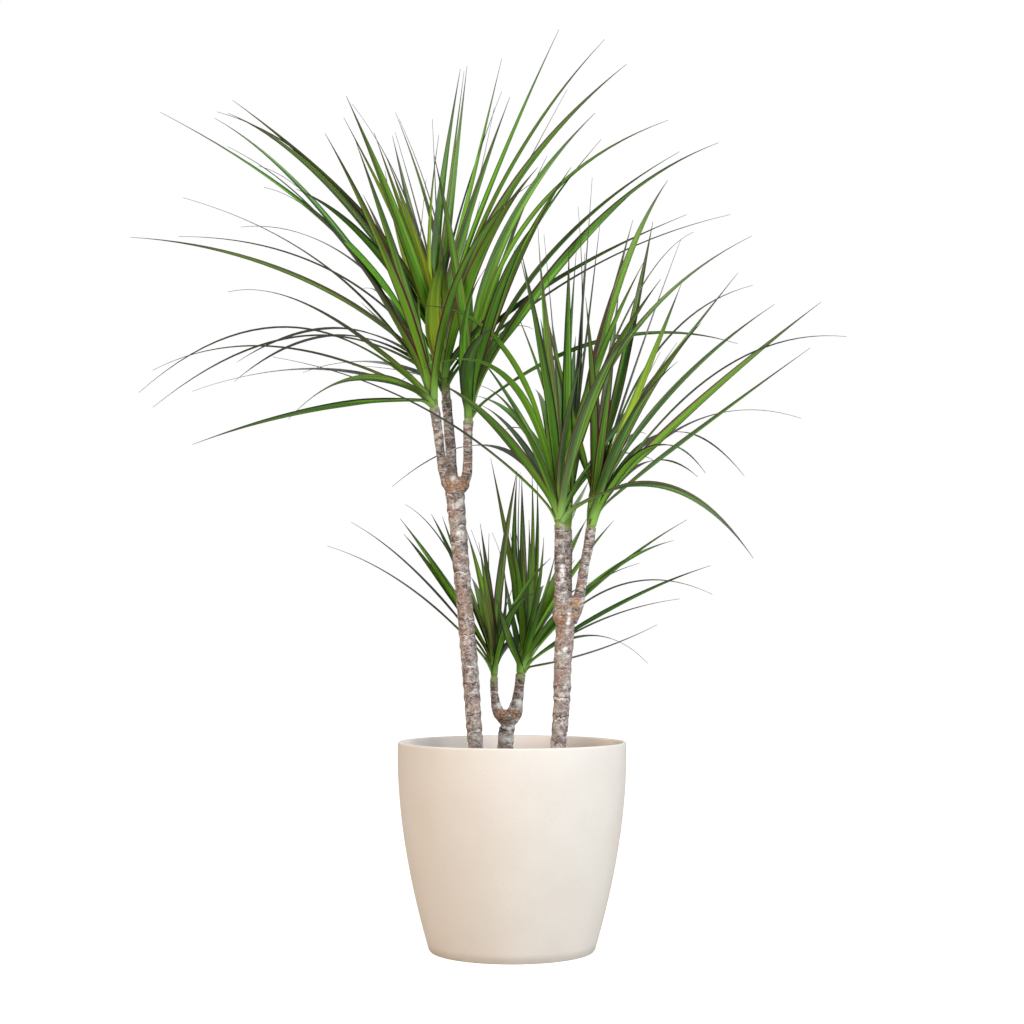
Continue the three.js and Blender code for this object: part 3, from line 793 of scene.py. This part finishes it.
def makeSoil():
    level, floor, topRings = soil["level"], pot["floor"] + gap, soil["topRings"]
    wallRadius = lambda height: potRadius(height) - pot["wall"] - gap
    profile = [(pot["middle"], floor), (wallRadius(20) - pot["floorRound"], floor), (wallRadius(22), 20)]
    profile += [(wallRadius(height), height) for height in (*soil["wallHeights"], level)]
    outer = wallRadius(level)
    for at in range(1, topRings):
        radius = outer * (1 - at / topRings)
        rise = 0.5 + 0.5 * math.cos(math.pi * min(1, radius / soil["moundRadius"]))
        profile.append((radius, level + soil["mound"] * rise))
    piece = ringUp(profile, soil["sides"])
    # crumbly relief on the top only, fading out at the wall
    places = meshPlaces(piece) / mm
    reach = np.hypot(places[:, 0], places[:, 1])
    cell, sink = soil["cell"]
    for at in np.nonzero((places[:, 2] >= level) & (reach < outer - 0.5))[0]:
        spot = Vector(places[at])
        lumps = sum(noise.noise(spot / size) * rise for size, rise in soil["lumps"])
        lumps += (noise.voronoi(spot / cell)[0][0] - 0.4) * sink
        places[at][2] += lumps * min(1, (outer - reach[at]) / soil["fading"])
    moveVertices(piece, places * mm)
    for cane in canes.values():
        hole = drawStem(cane["runs"][0], gap)
        applyModifier(piece, "BOOLEAN", object=hole, operation="DIFFERENCE", solver="EXACT")
        bpy.data.objects.remove(hole)
    storeValues(piece, chip=0)
    piece = joinPieces([piece, *scatterCrumbs(piece)])
    giveFinish(piece, soilCrumb)
    standFor(piece, "soilSurface", "soil", 35)


makePot()
makeSoil()

print("stage 4: canes")

barkShape = {
    "voxel": 0.95,
    "slowNoise": 14,  # sizes of what is uneven
    "fineNoise": 4.5,
    "patchNoise": 8,
    "wrinkle": 5,
    "melting": 24,  # rounds of smoothing where canes join
    # leaf-scar rings on a trunk and on a branch: how far apart, how uneven, how wide, how marked
    "pitch": (9.5, 4.4),
    "wander": (0.8, 0.55),
    "width": (0.9, 0.65),
    "mark": (0.5, 1.0),
    "darkness": (0.3, 0.9),
    "thinness": (0.2, 1.0),  # how much a stem takes the looks of a branch
    "ringDepth": 0.45,
    "lumps": 0.9,
    "knobRelief": 1.2,
    "swelling": 0.45,
    "swellingPitch": 18,
    "branchExtra": 0.35,
    "freshLength": 4,  # green stretch left below a head
    "freshLengths": {"caneShort": 11},
}


def runSamples(runs):
    # points every millimetre or so along each run: place, radius, distance along, which run
    samples = []
    for order, run in enumerate(runs):
        along = 0
        for first, second in zip(run, run[1:]):
            span = math.dist(first[:3], second[:3])
            steps = max(1, round(span))
            for share in (at / steps for at in range(steps)):
                between = (low + (high - low) * share for low, high in zip(first, second))
                samples.append((*between, along + span * share, order))
            along += span
        samples.append((*run[-1], along, order))
    return np.array(samples)


def noiseAt(places, scale, offset=(0, 0, 0)):
    return np.array([noise.noise(Vector(place) / scale + Vector(offset)) for place in places])


def patchShare(places, patches):
    share = np.zeros(len(places))
    for x, y, z, size in patches:
        reach = np.linalg.norm((places - (x, y, z)) / (size, size, 0.8 * size), axis=1)
        share = np.maximum(share, np.clip(1.6 - 1.2 * reach, 0, 1))
    return np.clip(share * (0.95 + 1.1 * noiseAt(places, 5, (3, 0, 0))), 0, 1)


def meltJoints(piece, knob):
    # smooths the swellings into the canes they join
    joint = piece.vertex_groups.new(name="joint")
    for at in np.nonzero(knob > 0)[0]:
        joint.add([int(at)], float(knob[at]), "REPLACE")
    applyModifier(piece, "SMOOTH", factor=0.5, iterations=barkShape["melting"], vertex_group="joint")


def caneReading(places, cane):
    # for each vertex: distance along its run, angle round it, which run, how far it lies in a knob
    # and how far below the top of the run
    samples = runSamples(cane["runs"])
    nearest = np.empty(len(places), int)
    for first in range(0, len(places), 4000):
        part = places[first:first + 4000]
        distance = np.linalg.norm(part[:, None, :] - samples[None, :, :3], axis=2) / samples[None, :, 3]
        nearest[first:first + 4000] = distance.argmin(axis=1)
    chosen = samples[nearest]
    along, run = chosen[:, 4], chosen[:, 5]
    around = np.arctan2(places[:, 1] - chosen[:, 1], places[:, 0] - chosen[:, 0])
    knob = np.zeros(len(places))
    for x, y, z, *radii in cane["knobs"]:
        reach = np.linalg.norm((places - (x, y, z)) / radii, axis=1)
        knob = np.maximum(knob, np.clip((1.45 - reach) / 0.45, 0, 1))
    ends = np.array([samples[samples[:, 5] == order][-1, 4] for order in range(len(cane["runs"]))])
    return along, around, run, knob, ends[run.astype(int)] - along


def addKnob(x, y, z, *radii):
    deselectAll()
    bpy.ops.mesh.primitive_uv_sphere_add(
        segments=24, ring_count=14, radius=1, location=(mm * x, mm * y, mm * z),
    )
    bpy.ops.transform.resize(value=[mm * radius for radius in radii])
    settle(bpy.context.object)
    return bpy.context.object


def makeCane(node, cane):
    stems = [drawStem(run) for run in cane["runs"]]
    piece = joinPieces(stems + [addKnob(*knob) for knob in cane["knobs"]])
    applyModifier(piece, "REMESH", mode="VOXEL", voxel_size=mm * barkShape["voxel"])
    applyModifier(piece, "SMOOTH", factor=0.5, iterations=3)
    places = meshPlaces(piece) / mm
    along, around, run, knob, fromTop = caneReading(places, cane)
    white, rust = (patchShare(places, cane[patches]) for patches in ("whitePatches", "rustPatches"))
    meltJoints(piece, knob)
    places = meshPlaces(piece) / mm
    isTrunk = run == 0
    pitch, wandering, width, mark, darkness, thin = (
        np.where(isTrunk, *barkShape[name])
        for name in ("pitch", "wander", "width", "mark", "darkness", "thinness")
    )
    # uneven rings of leaf scars, broken up in places
    wander, fine = (noiseAt(places, barkShape[size]) for size in ("slowNoise", "fineNoise"))
    phase = along / pitch + 0.33 * run
    phase += wandering * wander + 0.2 * fine
    phase += 0.2 * np.sin(around + 2.4 * np.round(phase))
    offRing = np.abs(phase - np.round(phase)) * pitch
    patchy = np.clip(0.55 + 1.6 * noiseAt(places, barkShape["patchNoise"], (9, 0, 0)), 0, 1)
    scar = np.exp(-((offRing / width) ** 2)) * (1 - 0.8 * knob) * patchy
    scar *= mark
    # relief: lumps, rings, wrinkled knobs and slow swellings of the trunk
    cells = [noise.voronoi(Vector(place) / barkShape["wrinkle"])[0][0] for place in places]
    out = barkShape["lumps"] * (0.65 * wander + 0.35 * fine) - barkShape["ringDepth"] * scar
    out += knob * barkShape["knobRelief"] * (0.5 - np.array(cells))
    swelling = np.cos(2 * math.pi * (along / barkShape["swellingPitch"] + 0.5 * wander))
    out += np.where(isTrunk, barkShape["swelling"] * swelling, barkShape["branchExtra"])
    moveVertices(piece, (places + meshPlaces(piece, "normal") * out[:, None]) * mm)
    # what the bark's colours go by
    length = barkShape["freshLengths"].get(node, barkShape["freshLength"])
    headRuns = [order for order, stations in enumerate(cane["runs"]) if order > 0 and len(stations) > 2]
    fresh = np.where(np.isin(run, headRuns), 1 - fromTop / length + 1.2 * fine, 0)
    storeValues(
        piece, scar=scar * darkness, knob=np.clip(knob * (0.85 + 1.6 * fine), 0, 1), thin=thin,
        white=white, rust=rust, fresh=np.clip(fresh, 0, 0.75),
    )
    wrap = piece.data.attributes.new("wrap", "FLOAT_VECTOR", "POINT")
    turned = np.stack([np.cos(around), np.sin(around), along + 60 * run], axis=1)
    wrap.data.foreach_set("vector", turned.astype(np.float32).ravel())
    giveFinish(piece, bark)
    standFor(piece, node + "Bark", node, 60)


for node, cane in canes.items():
    makeCane(node, cane)

print("stage 5: leaf heads")

# branch: the cane and run whose top carries the head; neck: length of the green stem that the
# leaves clasp; longest: length of a full-grown leaf; more: leaves placed by rule; barkAbove: how
# far bark covers the neck; youth: above 1 for fresher colours; looks: leaves that stand out, as
# (lime, breadth, seed of the colour).
# Each row is (middle x, middle z, tip x, tip z, width, depth), measured from the branch's top.
heads = {
    "headTallLeft": {
        "branch": ("caneTall", 1), "neck": 62, "longest": 520, "more": 6,
        "leaves": [
            (-122, 224, -368, 398, 8, -0.5), (-148, 258, -295, 390, 8, 0.5), (-135, 235, -277, 351, 4, -0.8),
            (-130, 240, -236, 325, 4, 0.8), (-118, 215, -228, 296, 4, -0.9), (-142, 186, -336, 282, 4, 0.6),
            (-155, 130, -275, 155, 5, -0.8), (-196, 107, -392, 20, 4, 0.4), (-203, 80, -374, 50, 4, -0.4),
            (-155, 51, -321, 22, 5, 0.7), (-101, 38, -193, -15, 8, -0.8), (-155, -3, -320, -49, 8, -0.6),
        ],
    },
    "headTallBack": {
        "branch": ("caneTall", 2), "neck": 120, "longest": 520, "more": 7, "barkAbove": 12,
        "looks": {
            13: (0.8, 1.1, 0.1), 15: (1, 1.2, 0.1), 16: (1, 1.1, 0.1), 17: (0, 1, 0.92), 18: (1, 1.1, 0.1),
            19: (0, 1, 0.85), 20: (0.5, 1, 0.9), 22: (0.8, 1, 0.2), 23: (0, 1.1, 0.6), 36: (1, 1.6, 0.1),
            40: (0.9, 1.1, 0.1), 41: (0.6, 1, 0.1),
        },
        "leaves": [
            (-109, 242, -291, 408, 11, 0.4), (-150, 278, -297, 390, 9, 0.7), (-145, 285, -312, 392, 4, 0.2),
            (-103, 208, -204, 286, 11, -0.3), (-157, 208, -360, 273, 4, 0.6), (-136, 194, -278, 234, 4, 0.8),
            (-197, 163, -427, 220, 7, 0.3), (-157, 174, -362, 221, 4, -0.2), (-190, 85, -394, -11, 4, 0.6),
            (-136, 95, -282, 50, 4, 0.9), (-143, 86, -285, 24, 4, 0.8), (-100, 50, -193, 36, 5, 0.9),
            (-49, 36, -127, 46, 4, 0.9), (-59, 217, -140, 384, 8, -0.5), (-55, 269, -129, 403, 4, 0.7),
            (-35, 190, -84, 334, 7, -0.8), (-51, 167, -84, 312, 8, 0.8), (-38, 208, -74, 359, 13, 0.8),
            (-32, 221, -70, 363, 4, -0.7), (-19, 228, -70, 391, 7, 0.5), (-11, 221, -65, 382, 4, -0.6),
            (-12, 221, -20, 382, 4, 0.8), (-22, 201, -11, 360, 6, -0.8), (-11, 235, 18, 451, 12, -0.3),
            (4, 239, 27, 455, 11, 0.3), (-1, 228, 23, 448, 7, 0.7), (12, 228, 74, 420, 5, 0.8),
            (28, 262, 74, 465, 7, 0.3), (22, 221, 85, 412, 12, -0.5), (26, 215, 64, 398, 4, 0.9),
            (62, 292, 152, 506, 7, 0.1), (84, 306, 214, 492, 6, 0.2), (86, 282, 244, 458, 11, -0.2),
            (73, 248, 163, 423, 4, 0.7), (127, 147, 324, 251, 7, 0.5), (181, 170, 383, 251, 4, 0.4),
            (-16, 125, 0, 201, 14, -0.25, 0.28), (32, 81, 79, 138, 9, -0.2, 0.3),
            (-55, 71, -115, 131, 9, -0.3, 0.12),
        ],
    },
    "headTallRight": {
        "branch": ("caneTall", 3), "neck": 60, "longest": 470, "more": 9, "barkAbove": 3,
        "looks": {8: (0, 1.4, 0.55)},
        "leaves": [
            (46, 242, 170, 416, 15, -0.5), (82, 269, 268, 406, 7, 0.3), (65, 215, 178, 380, 6, 0.7),
            (109, 220, 283, 363, 7, 0.4), (103, 186, 239, 325, 14, -0.6), (157, 251, 335, 375, 7, -0.1),
            (49, 217, 105, 357, 6, 0.8), (184, 107, 359, 103, 6, 0.6), (3, 85, 34, 124, 13, -0.8),
            (23, 81, 49, 116, 7, 0.9), (-5, 123, 22, 204, 8, -0.9),
        ],
    },
    "headRightFront": {
        "branch": ("caneRight", 1), "neck": 48, "longest": 440, "more": 9, "youth": 1.25,
        "looks": {15: (0, 1, 0.82)},
        "leaves": [
            (-75, 195, -211, 185, 8, -0.7), (-53, 234, -161, 384, 11, -0.4), (-70, 224, -181, 286, 8, -0.7),
            (-22, 205, -55, 366, 6, 0.5), (-16, 198, -28, 391, 6, 0.3), (-5, 191, -20, 380, 4, -0.4),
            (-11, 191, -25, 346, 11, -0.5), (-63, 198, -70, 389, 11, 0.4), (-79, 123, -158, 185, 12, -0.8),
            (-55, 112, -108, 158, 8, 0.8), (-172, 148, -375, 219, 4, -0.5), (-92, 102, -218, 49, 5, 0.9),
            (-53, 133, -107, 182, 6, -0.9), (112, 172, 234, 330, 8, 0.4), (90, 240, 253, 379, 8, -0.1),
            (132, 49, 251, -44, 9, -0.8), (90, 277, 176, 384, 4, 0.5), (9, 125, 33, 231, 8, -0.8),
        ],
    },
    "headRightBack": {
        "branch": ("caneRight", 2), "neck": 46, "longest": 470, "more": 13, "youth": 1.1,
        "leaves": [
            (62, 302, 135, 466, 13, 0.2), (46, 243, 88, 412, 9, 0.6), (3, 203, 13, 375, 7, 0.7),
            (16, 210, 24, 368, 7, 0.8), (18, 249, 34, 469, 5, 0.3), (20, 236, 15, 430, 4, 0.5),
            (26, 249, 45, 414, 5, 0.7), (13, 32, 29, 65, 8, 0.9),
        ],
    },
    "headRightSide": {
        "branch": ("caneRight", 3), "neck": 48, "longest": 420, "more": 9, "youth": 1.25,
        "looks": {2: (0, 1, 0.85), 5: (0.7, 1, 0.1), 7: (0, 1, 0.88)},
        "leaves": [
            (-25, 141, -66, 313, 11, -0.7), (49, 234, 83, 404, 13, -0.2), (20, 168, 38, 313, 15, 0.7),
            (58, 207, 120, 381, 5, 0.4), (86, 228, 214, 319, 5, 0.5), (65, 181, 120, 321, 11, -0.5),
            (58, 148, 114, 243, 6, 0.9), (104, 174, 243, 294, 8, 0.5), (164, 201, 337, 251, 4, 0.2),
            (131, 153, 304, 297, 12, -0.1), (98, 128, 203, 214, 4, 0.8), (137, 123, 289, 236, 6, -0.5),
            (131, 136, 276, 143, 4, 0.6), (98, 123, 201, 67, 5, 0.7), (78, 103, 150, 71, 6, -0.8),
            (71, 84, 140, 66, 4, 0.8),
        ],
    },
    "headShortLeft": {
        "branch": ("caneShort", 2), "neck": 36, "longest": 290, "more": 8, "youth": 1.2,
        "leaves": [
            (-111, 117, -225, 176, 4, 0.3), (-100, 135, -193, 208, 5, -0.2), (-68, 130, -127, 213, 9, 0.5),
            (-59, 163, -120, 232, 4, 0.8), (-53, 151, -85, 219, 7, 0.8), (-43, 138, -70, 216, 7, 0.5),
            (-73, 128, -122, 192, 8, 0.2), (-4, 104, -31, 198, 4, -0.6), (-7, 104, -7, 193, 5, 0.8),
            (11, 151, 31, 279, 11, -0.3), (-8, 70, -15, 130, 7, -0.5), (-15, 90, -31, 134, 13, 0.8),
            (15, 117, -3, 194, 4, 0.6), (28, 50, 89, 66, 7, 0.9),
        ],
    },
    "headShortRight": {
        "branch": ("caneShort", 3), "neck": 42, "longest": 300, "more": 7, "youth": 1.2,
        "leaves": [
            (-15, 154, -41, 292, 9, 0.2), (-9, 140, -5, 273, 11, -0.3), (3, 140, 1, 269, 12, 0.3),
            (-4, 154, -1, 273, 4, 0.5), (14, 140, 15, 275, 8, -0.2), (19, 140, 22, 262, 8, 0.5),
            (11, 100, 11, 208, 11, -0.7), (22, 100, 31, 184, 7, -0.8), (27, 86, 47, 163, 6, -0.9),
            (53, 138, 89, 209, 12, 0.5), (70, 134, 126, 207, 7, 0.3), (113, 128, 225, 208, 6, 0.1),
            (107, 127, 207, 180, 8, 0.4), (126, 116, 259, 107, 4, 0.2), (134, 93, 257, 146, 6, -0.2),
            (104, 70, 215, 101, 4, 0.6), (93, 28, 184, 66, 4, 0.7), (93, 51, 171, 14, 4, 0.5),
            (36, 93, 73, 154, 7, -0.8), (42, 84, 93, 123, 7, 0.8), (-12, 73, -22, 134, 8, 0.9),
            (-18, 53, -32, 100, 11, -0.9),
        ],
    },
}
eye = Vector(studio["cameraPlace"])
growth = {
    "share": 0.8,  # length of a leaf read from the photo, as a share of the longest
    "spread": 0.15,
    "taut": 0.93,
    "depthLag": 0.375,  # depth of a leaf's middle, as a share of its tip's
    "depthChange": 0.16,
    "least": 5.5,  # width of the shortest leaf
    "slimness": 0.022,  # width that a leaf gains with its length
    "rootHeights": (0.12, 0.78, 0.1),  # of a level leaf, more for an upright one, and the play
    "tries": 40,
    "seedSteps": (7919, 104729, 611953),  # for each head, leaf and try
    "tipReach": 0.95,  # a leaf of the solid has this many corners this near its tip
    "tipCorners": 3,
}
ruled = {
    "lean": 0.1, "leanGrowth": 0.75, "droop": 0.08, "droopGrowth": 0.2,
    "length": 0.44, "lengthGrowth": 0.36, "lengthSpread": 0.1,
    "youngAge": 0.3, "youngSpread": 3, "oldSpread": 0.9, "goldenShare": 0.39996,
    "change": 0.08, "mostChange": 0.64, "leanChange": 0.7, "roll": 0.9,
}
neckShape = [(0, 1), (0.45, 1.3), (0.9, 1.3), (1.6, 0.3)]  # share of the neck's length, of its radius
bladeShape = {
    "columns": 6,
    "rows": 30,
    "rootCrowding": 1.35,  # rows lie closer together towards the root
    "thickness": 0.5,
    "edge": 0.6,  # how much thinner the edge is
    "tipWidth": 0.5,
    "widening": 1.15,
    "footWidth": (0.66, 1.1),  # share of the full width at the foot, and how fast it grows
    "taper": (2.6, 0.9),  # powers of the narrowing towards the tip
    "drawnOut": [(0.2, 0.35, 0.8), (0.35, 0.7, 1)],  # narrower by this share, from here to there
    "footDrop": 8,  # how far down the neck the foot of a level leaf starts
    "seatShare": 0.1,  # shares of the length in which the foot leaves the neck's side and its drop
    "dropShare": 0.05,
    "claspTurn": 1.15,  # how far round the neck the foot reaches, in radians each way
    "claspShare": 0.07,  # share of the length in which the foot narrows to the blade
    "turning": (0, 0.4),  # where the blade turns from the neck to the way that it faces
    "channelling": (0.01, 0.12),  # where the curled foot opens into a channel
    "channel": 0.5,  # slope of the blade's two halves near the foot
    "channelTip": 0.24,
    "flattening": (0.1, 0.75),  # where the one slope turns into the other
    "slimBelow": 5,  # blades no wider than this in sight are seen by their edge
    "slimShown": 0.6,
    "slimChannel": 0.45,
    "slimming": (0.1, 0.3),
}


def headFrame(head):
    # where the neck starts, which way it goes and its radius
    cane, run = head["branch"]
    below, top = canes[cane]["runs"][run][-2:]
    axis = (Vector(top[:3]) - Vector(below[:3])).normalized()
    return Vector(top[:3]) + axis * gap, axis, top[3] - 0.8


def sighted(base, x, z, depth):
    # the point at this depth that the camera sees at this place
    reach = 1 + depth / (base.y - eye.y)
    return eye + (Vector((base.x + x, base.y, base.z + z)) - eye) * reach


def leafWidth(length):
    return growth["least"] + growth["slimness"] * length


def readLeaf(head, row, attempt, draws):
    base = headFrame(head)[0]
    middleX, middleZ, tipX, tipZ, shown, wish, *seat = row
    flat = math.hypot(tipX, tipZ)
    length = max(flat, head["longest"] * (growth["share"] + growth["spread"] * next(draws)))
    room = math.sqrt(max(0, (growth["taut"] * length) ** 2 - flat ** 2))
    change = (next(draws) - 0.5) * growth["depthChange"] * attempt
    depth = room * max(-1, min(1, wish + change))
    tip = sighted(base, tipX, tipZ, depth)
    middle = sighted(base, middleX, middleZ, growth["depthLag"] * depth)
    return tip, middle, max(shown, leafWidth(length)), shown, seat[0] if seat else None


def ruleLeaf(head, order, attempt, draws):
    base, axis, _ = headFrame(head)
    age = (order + 0.5) / head["more"]
    front = (1 if order % 2 == 0 else -1) * math.pi / 2
    spread = ruled["youngSpread"] if age < ruled["youngAge"] else ruled["oldSpread"]
    change = min(ruled["mostChange"], ruled["change"] * attempt)
    turn = front + spread * ((order * ruled["goldenShare"]) % 1 - 0.5) + change * (next(draws) - 0.5)
    lean = ruled["lean"] + ruled["leanGrowth"] * age + ruled["leanChange"] * change * (next(draws) - 0.5)
    grown = ruled["lengthGrowth"] * math.sin(math.pi * min(0.5, age))
    length = head["longest"] * (ruled["length"] + grown + ruled["lengthSpread"] * next(draws))
    tipLean = lean + 2 * (ruled["droop"] + ruled["droopGrowth"] * age)
    out = Vector((math.cos(turn), math.sin(turn), 0))
    middle = base + (axis * math.cos(lean) + out * math.sin(lean)) * 0.5 * length
    tip = middle + (axis * math.cos(tipLean) + out * math.sin(tipLean)) * 0.48 * length
    return tip, middle, leafWidth(length), None, None


def leafCurve(head, place, draws):
    # the arc of a leaf from its root on the neck to its tip, and the way that its blade faces
    base, axis, radius = headFrame(head)
    tip, middle, width, shown, seat = place
    reach = tip - base
    rise = reach.dot(axis) / reach.length
    out = (reach - axis * reach.dot(axis)).normalized()
    level, upright, play = growth["rootHeights"]
    share = level + upright * max(0, rise) ** 4 + play * next(draws)
    height = head["neck"] * (share if seat is None else seat)
    root = base + axis * height + out * 0.4 * radius
    clasp = axis.cross(out)
    along = (tip - root).normalized()
    slim = shown is not None and shown <= bladeShape["slimBelow"]
    if shown is None:
        face = Quaternion(along, (next(draws) - 0.5) * ruled["roll"]) @ clasp
    else:
        flatWise = (middle - eye).normalized().cross(along).normalized()
        deepWise = along.cross(flatWise)
        roll = math.acos(min(1, shown * (bladeShape["slimShown"] if slim else 1) / width))
        choices = [flatWise * math.cos(roll) + deepWise * sign * math.sin(roll) for sign in (1, -1)]
        face = max(choices, key=lambda choice: abs(choice.dot(clasp)))
        face = -face if face.dot(clasp) < 0 else face
    return {
        "root": root, "bend": middle * 2 - root * 0.5 - tip * 0.5, "tip": tip, "width": width,
        "clasp": clasp, "face": face, "out": out, "height": height, "rise": rise, "slim": slim,
    }


def tipTree(node):
    return nearTree(np.unique(np.round(meshPlaces(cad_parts[node]) / mm, 3), axis=0))


def grownCurve(head, order, leaf, corners):
    # the try at which this leaf stands in the solid head, known by the corners of its tip there
    headStep, leafStep, tryStep = growth["seedSteps"]
    read = len(head["leaves"])
    for attempt in range(growth["tries"]):
        draws = seededDraws(1 + headStep * (order + 1) + leafStep * (leaf + 1) + tryStep * attempt)
        next(draws)
        if leaf < read:
            place = readLeaf(head, head["leaves"][leaf], attempt, draws)
        else:
            place = ruleLeaf(head, leaf - read, attempt, draws)
        curve = leafCurve(head, place, draws)
        if len(corners.find_range(curve["tip"], growth["tipReach"])) >= growth["tipCorners"]:
            return curve
    return None


def smoothStep(value, low, high):
    share = np.clip((value - low) / (high - low), 0, 1)
    return share * share * (3 - 2 * share)


def neckRadius(head, height):
    shares = np.array(neckShape)
    return headFrame(head)[2] * np.interp(height / head["neck"], shares[:, 0], shares[:, 1])


def unit(vectors):
    return vectors / np.linalg.norm(vectors, axis=1, keepdims=True)


def writeMap(piece, across, along):
    # two measures of each vertex, as a map that stays with every copy
    if not piece.data.uv_layers:
        piece.data.uv_layers.new(name="bladeMap")
    piece.data.uv_layers[0].name = "bladeMap"
    corners = np.empty(len(piece.data.loops), np.int32)
    piece.data.loops.foreach_get("vertex_index", corners)
    marks = np.stack(np.broadcast_arrays(across, along), axis=1)[corners]
    piece.data.uv_layers["bladeMap"].data.foreach_set("uv", marks.astype(np.float32).ravel())


def modelBlade():
    # a flat strip, one unit half-width each way across and one unit long, with its thickness
    deselectAll()
    bpy.ops.mesh.primitive_grid_add(
        x_subdivisions=bladeShape["columns"], y_subdivisions=bladeShape["rows"], size=2,
    )
    blade = bpy.context.object
    bpy.ops.transform.resize(value=(1, 0.5, 1))
    bpy.ops.transform.translate(value=(0, 0.5, 0))
    settle(blade)
    applyModifier(blade, "SOLIDIFY", thickness=0.02, offset=0)
    flat = meshPlaces(blade)
    writeMap(blade, 0.5 + 0.5 * flat[:, 0], flat[:, 1])
    return blade


def layBlade(blade, head, curve, breadth):
    _, axis, radius = headFrame(head)
    wide, long, side = meshPlaces(blade).T
    rows = np.unique(np.round(long, 5))
    t = rows ** bladeShape["rootCrowding"]
    root, bend, tip, out = (np.array(curve[key]) for key in ("root", "bend", "tip", "out"))
    line = ((1 - t) ** 2)[:, None] * root + (2 * t * (1 - t))[:, None] * bend + (t ** 2)[:, None] * tip
    # the root moves out to the neck's side, and that of a level leaf down along it
    neck = neckRadius(head, curve["height"])
    seat = np.clip(1 - t / bladeShape["seatShare"], 0, 1) ** 2
    line += seat[:, None] * out * (neck + 0.3 - 0.4 * radius)
    drop = min(bladeShape["footDrop"] * (1 - max(0, curve["rise"])), max(0, curve["height"] - 2))
    line -= (drop * np.clip(1 - t / bladeShape["dropShare"], 0, 1) ** 2)[:, None] * np.array(axis)
    ahead = unit(np.gradient(line, t, axis=0))
    share = smoothStep(t, *bladeShape["turning"])[:, None]
    across = np.array(curve["clasp"]) * (1 - share) + np.array(curve["face"]) * share
    across = unit(across - ahead * (across * ahead).sum(axis=1, keepdims=True))
    up = np.cross(ahead, across)
    # half width: the clasping foot, then the blade, drawn out to a fine tip
    footWidth, footGrowth = bladeShape["footWidth"]
    blunt, fine = bladeShape["taper"]
    full = breadth * bladeShape["widening"] * curve["width"] / 2
    full = full * np.minimum(1, footWidth + footGrowth * t) * (1 - t ** blunt) ** fine
    for loss, low, high in bladeShape["drawnOut"]:
        full *= 1 - loss * smoothStep(t, low, high)
    full = np.maximum(bladeShape["tipWidth"] / 2, full)
    clasp = bladeShape["claspTurn"] * neck
    narrowing = smoothStep(t, 0, bladeShape["claspShare"])
    half = clasp * (1 - narrowing) + full * narrowing
    # the foot curls round the neck, the blade is a shallow channel
    channelled = smoothStep(t, *bladeShape["channelling"])
    opening = bladeShape["channelTip"] - bladeShape["channel"]
    slope = bladeShape["channel"] + opening * smoothStep(t, *bladeShape["flattening"])
    if curve["slim"]:
        slope *= 1 - (1 - bladeShape["slimChannel"]) * smoothStep(t, *bladeShape["slimming"])
    row = np.searchsorted(rows, np.round(long, 5))
    reach = half[row] * wide
    curl = np.sign(reach) * np.minimum(np.abs(reach) / neck, 1.5)
    roundSide, roundLift = neck * np.sin(curl), neck * (1 - np.cos(curl))
    flatSide = reach / np.sqrt(1 + slope[row] ** 2)
    flatLift = np.abs(flatSide) * slope[row]
    mix = channelled[row]
    thick = np.sign(side) * bladeShape["thickness"] / 2 * (1 - bladeShape["edge"] * np.abs(wide) ** 3)
    sideways = roundSide * (1 - mix) + flatSide * mix
    raised = roundLift * (1 - mix) + flatLift * mix + thick
    places = line[row] - across[row] * sideways[:, None] + up[row] * raised[:, None]
    leaf = copyOf(blade)
    moveVertices(leaf, places * mm)
    storeValues(leaf, under=side < 0, slim=curve["slim"])
    giveFinish(leaf, leafSkin)
    return leaf


def makeNeck(head):
    base, axis, radius = headFrame(head)
    stations = [(*(base + axis * along * head["neck"]), share * radius) for along, share in neckShape]
    neck = drawStem(stations, resolution=10)
    height = (meshPlaces(neck) / mm - np.array(base)) @ np.array(axis)
    writeMap(neck, 0, height - head.get("barkAbove", 0))
    giveFinish(neck, neckSkin)
    return neck


def makeHead(node, head, order, blade):
    corners = tipTree(node)
    draws = seededDraws(907 * (order + 3))
    next(draws)
    parts = [makeNeck(head)]
    lost = 0
    for leaf in range(len(head["leaves"]) + head["more"]):
        curve = grownCurve(head, order, leaf, corners)
        age, seed = next(draws), next(draws)
        if curve is None:
            lost += 1
            continue
        tone = 0.15 + 0.75 * (1 - max(0, curve["rise"])) + 0.24 * (age - 0.5)
        plain = (0.0, 1.0, seed ** head.get("youth", 1.0))
        lime, breadth, seed = head.get("looks", {}).get(leaf, plain)
        parts.append(layBlade(blade, head, curve, breadth))
        storeValues(parts[-1], tone=min(1, max(0, tone)), seed=seed, lime=lime)
    standFor(joinPieces(parts), node + "Leaves", node, 55)
    print(f"  {node}: {len(parts) - 1} leaves, {lost} not in the solid")


blade = modelBlade()
for order, (node, head) in enumerate(heads.items()):
    makeHead(node, head, order, blade)
bpy.data.objects.remove(blade)
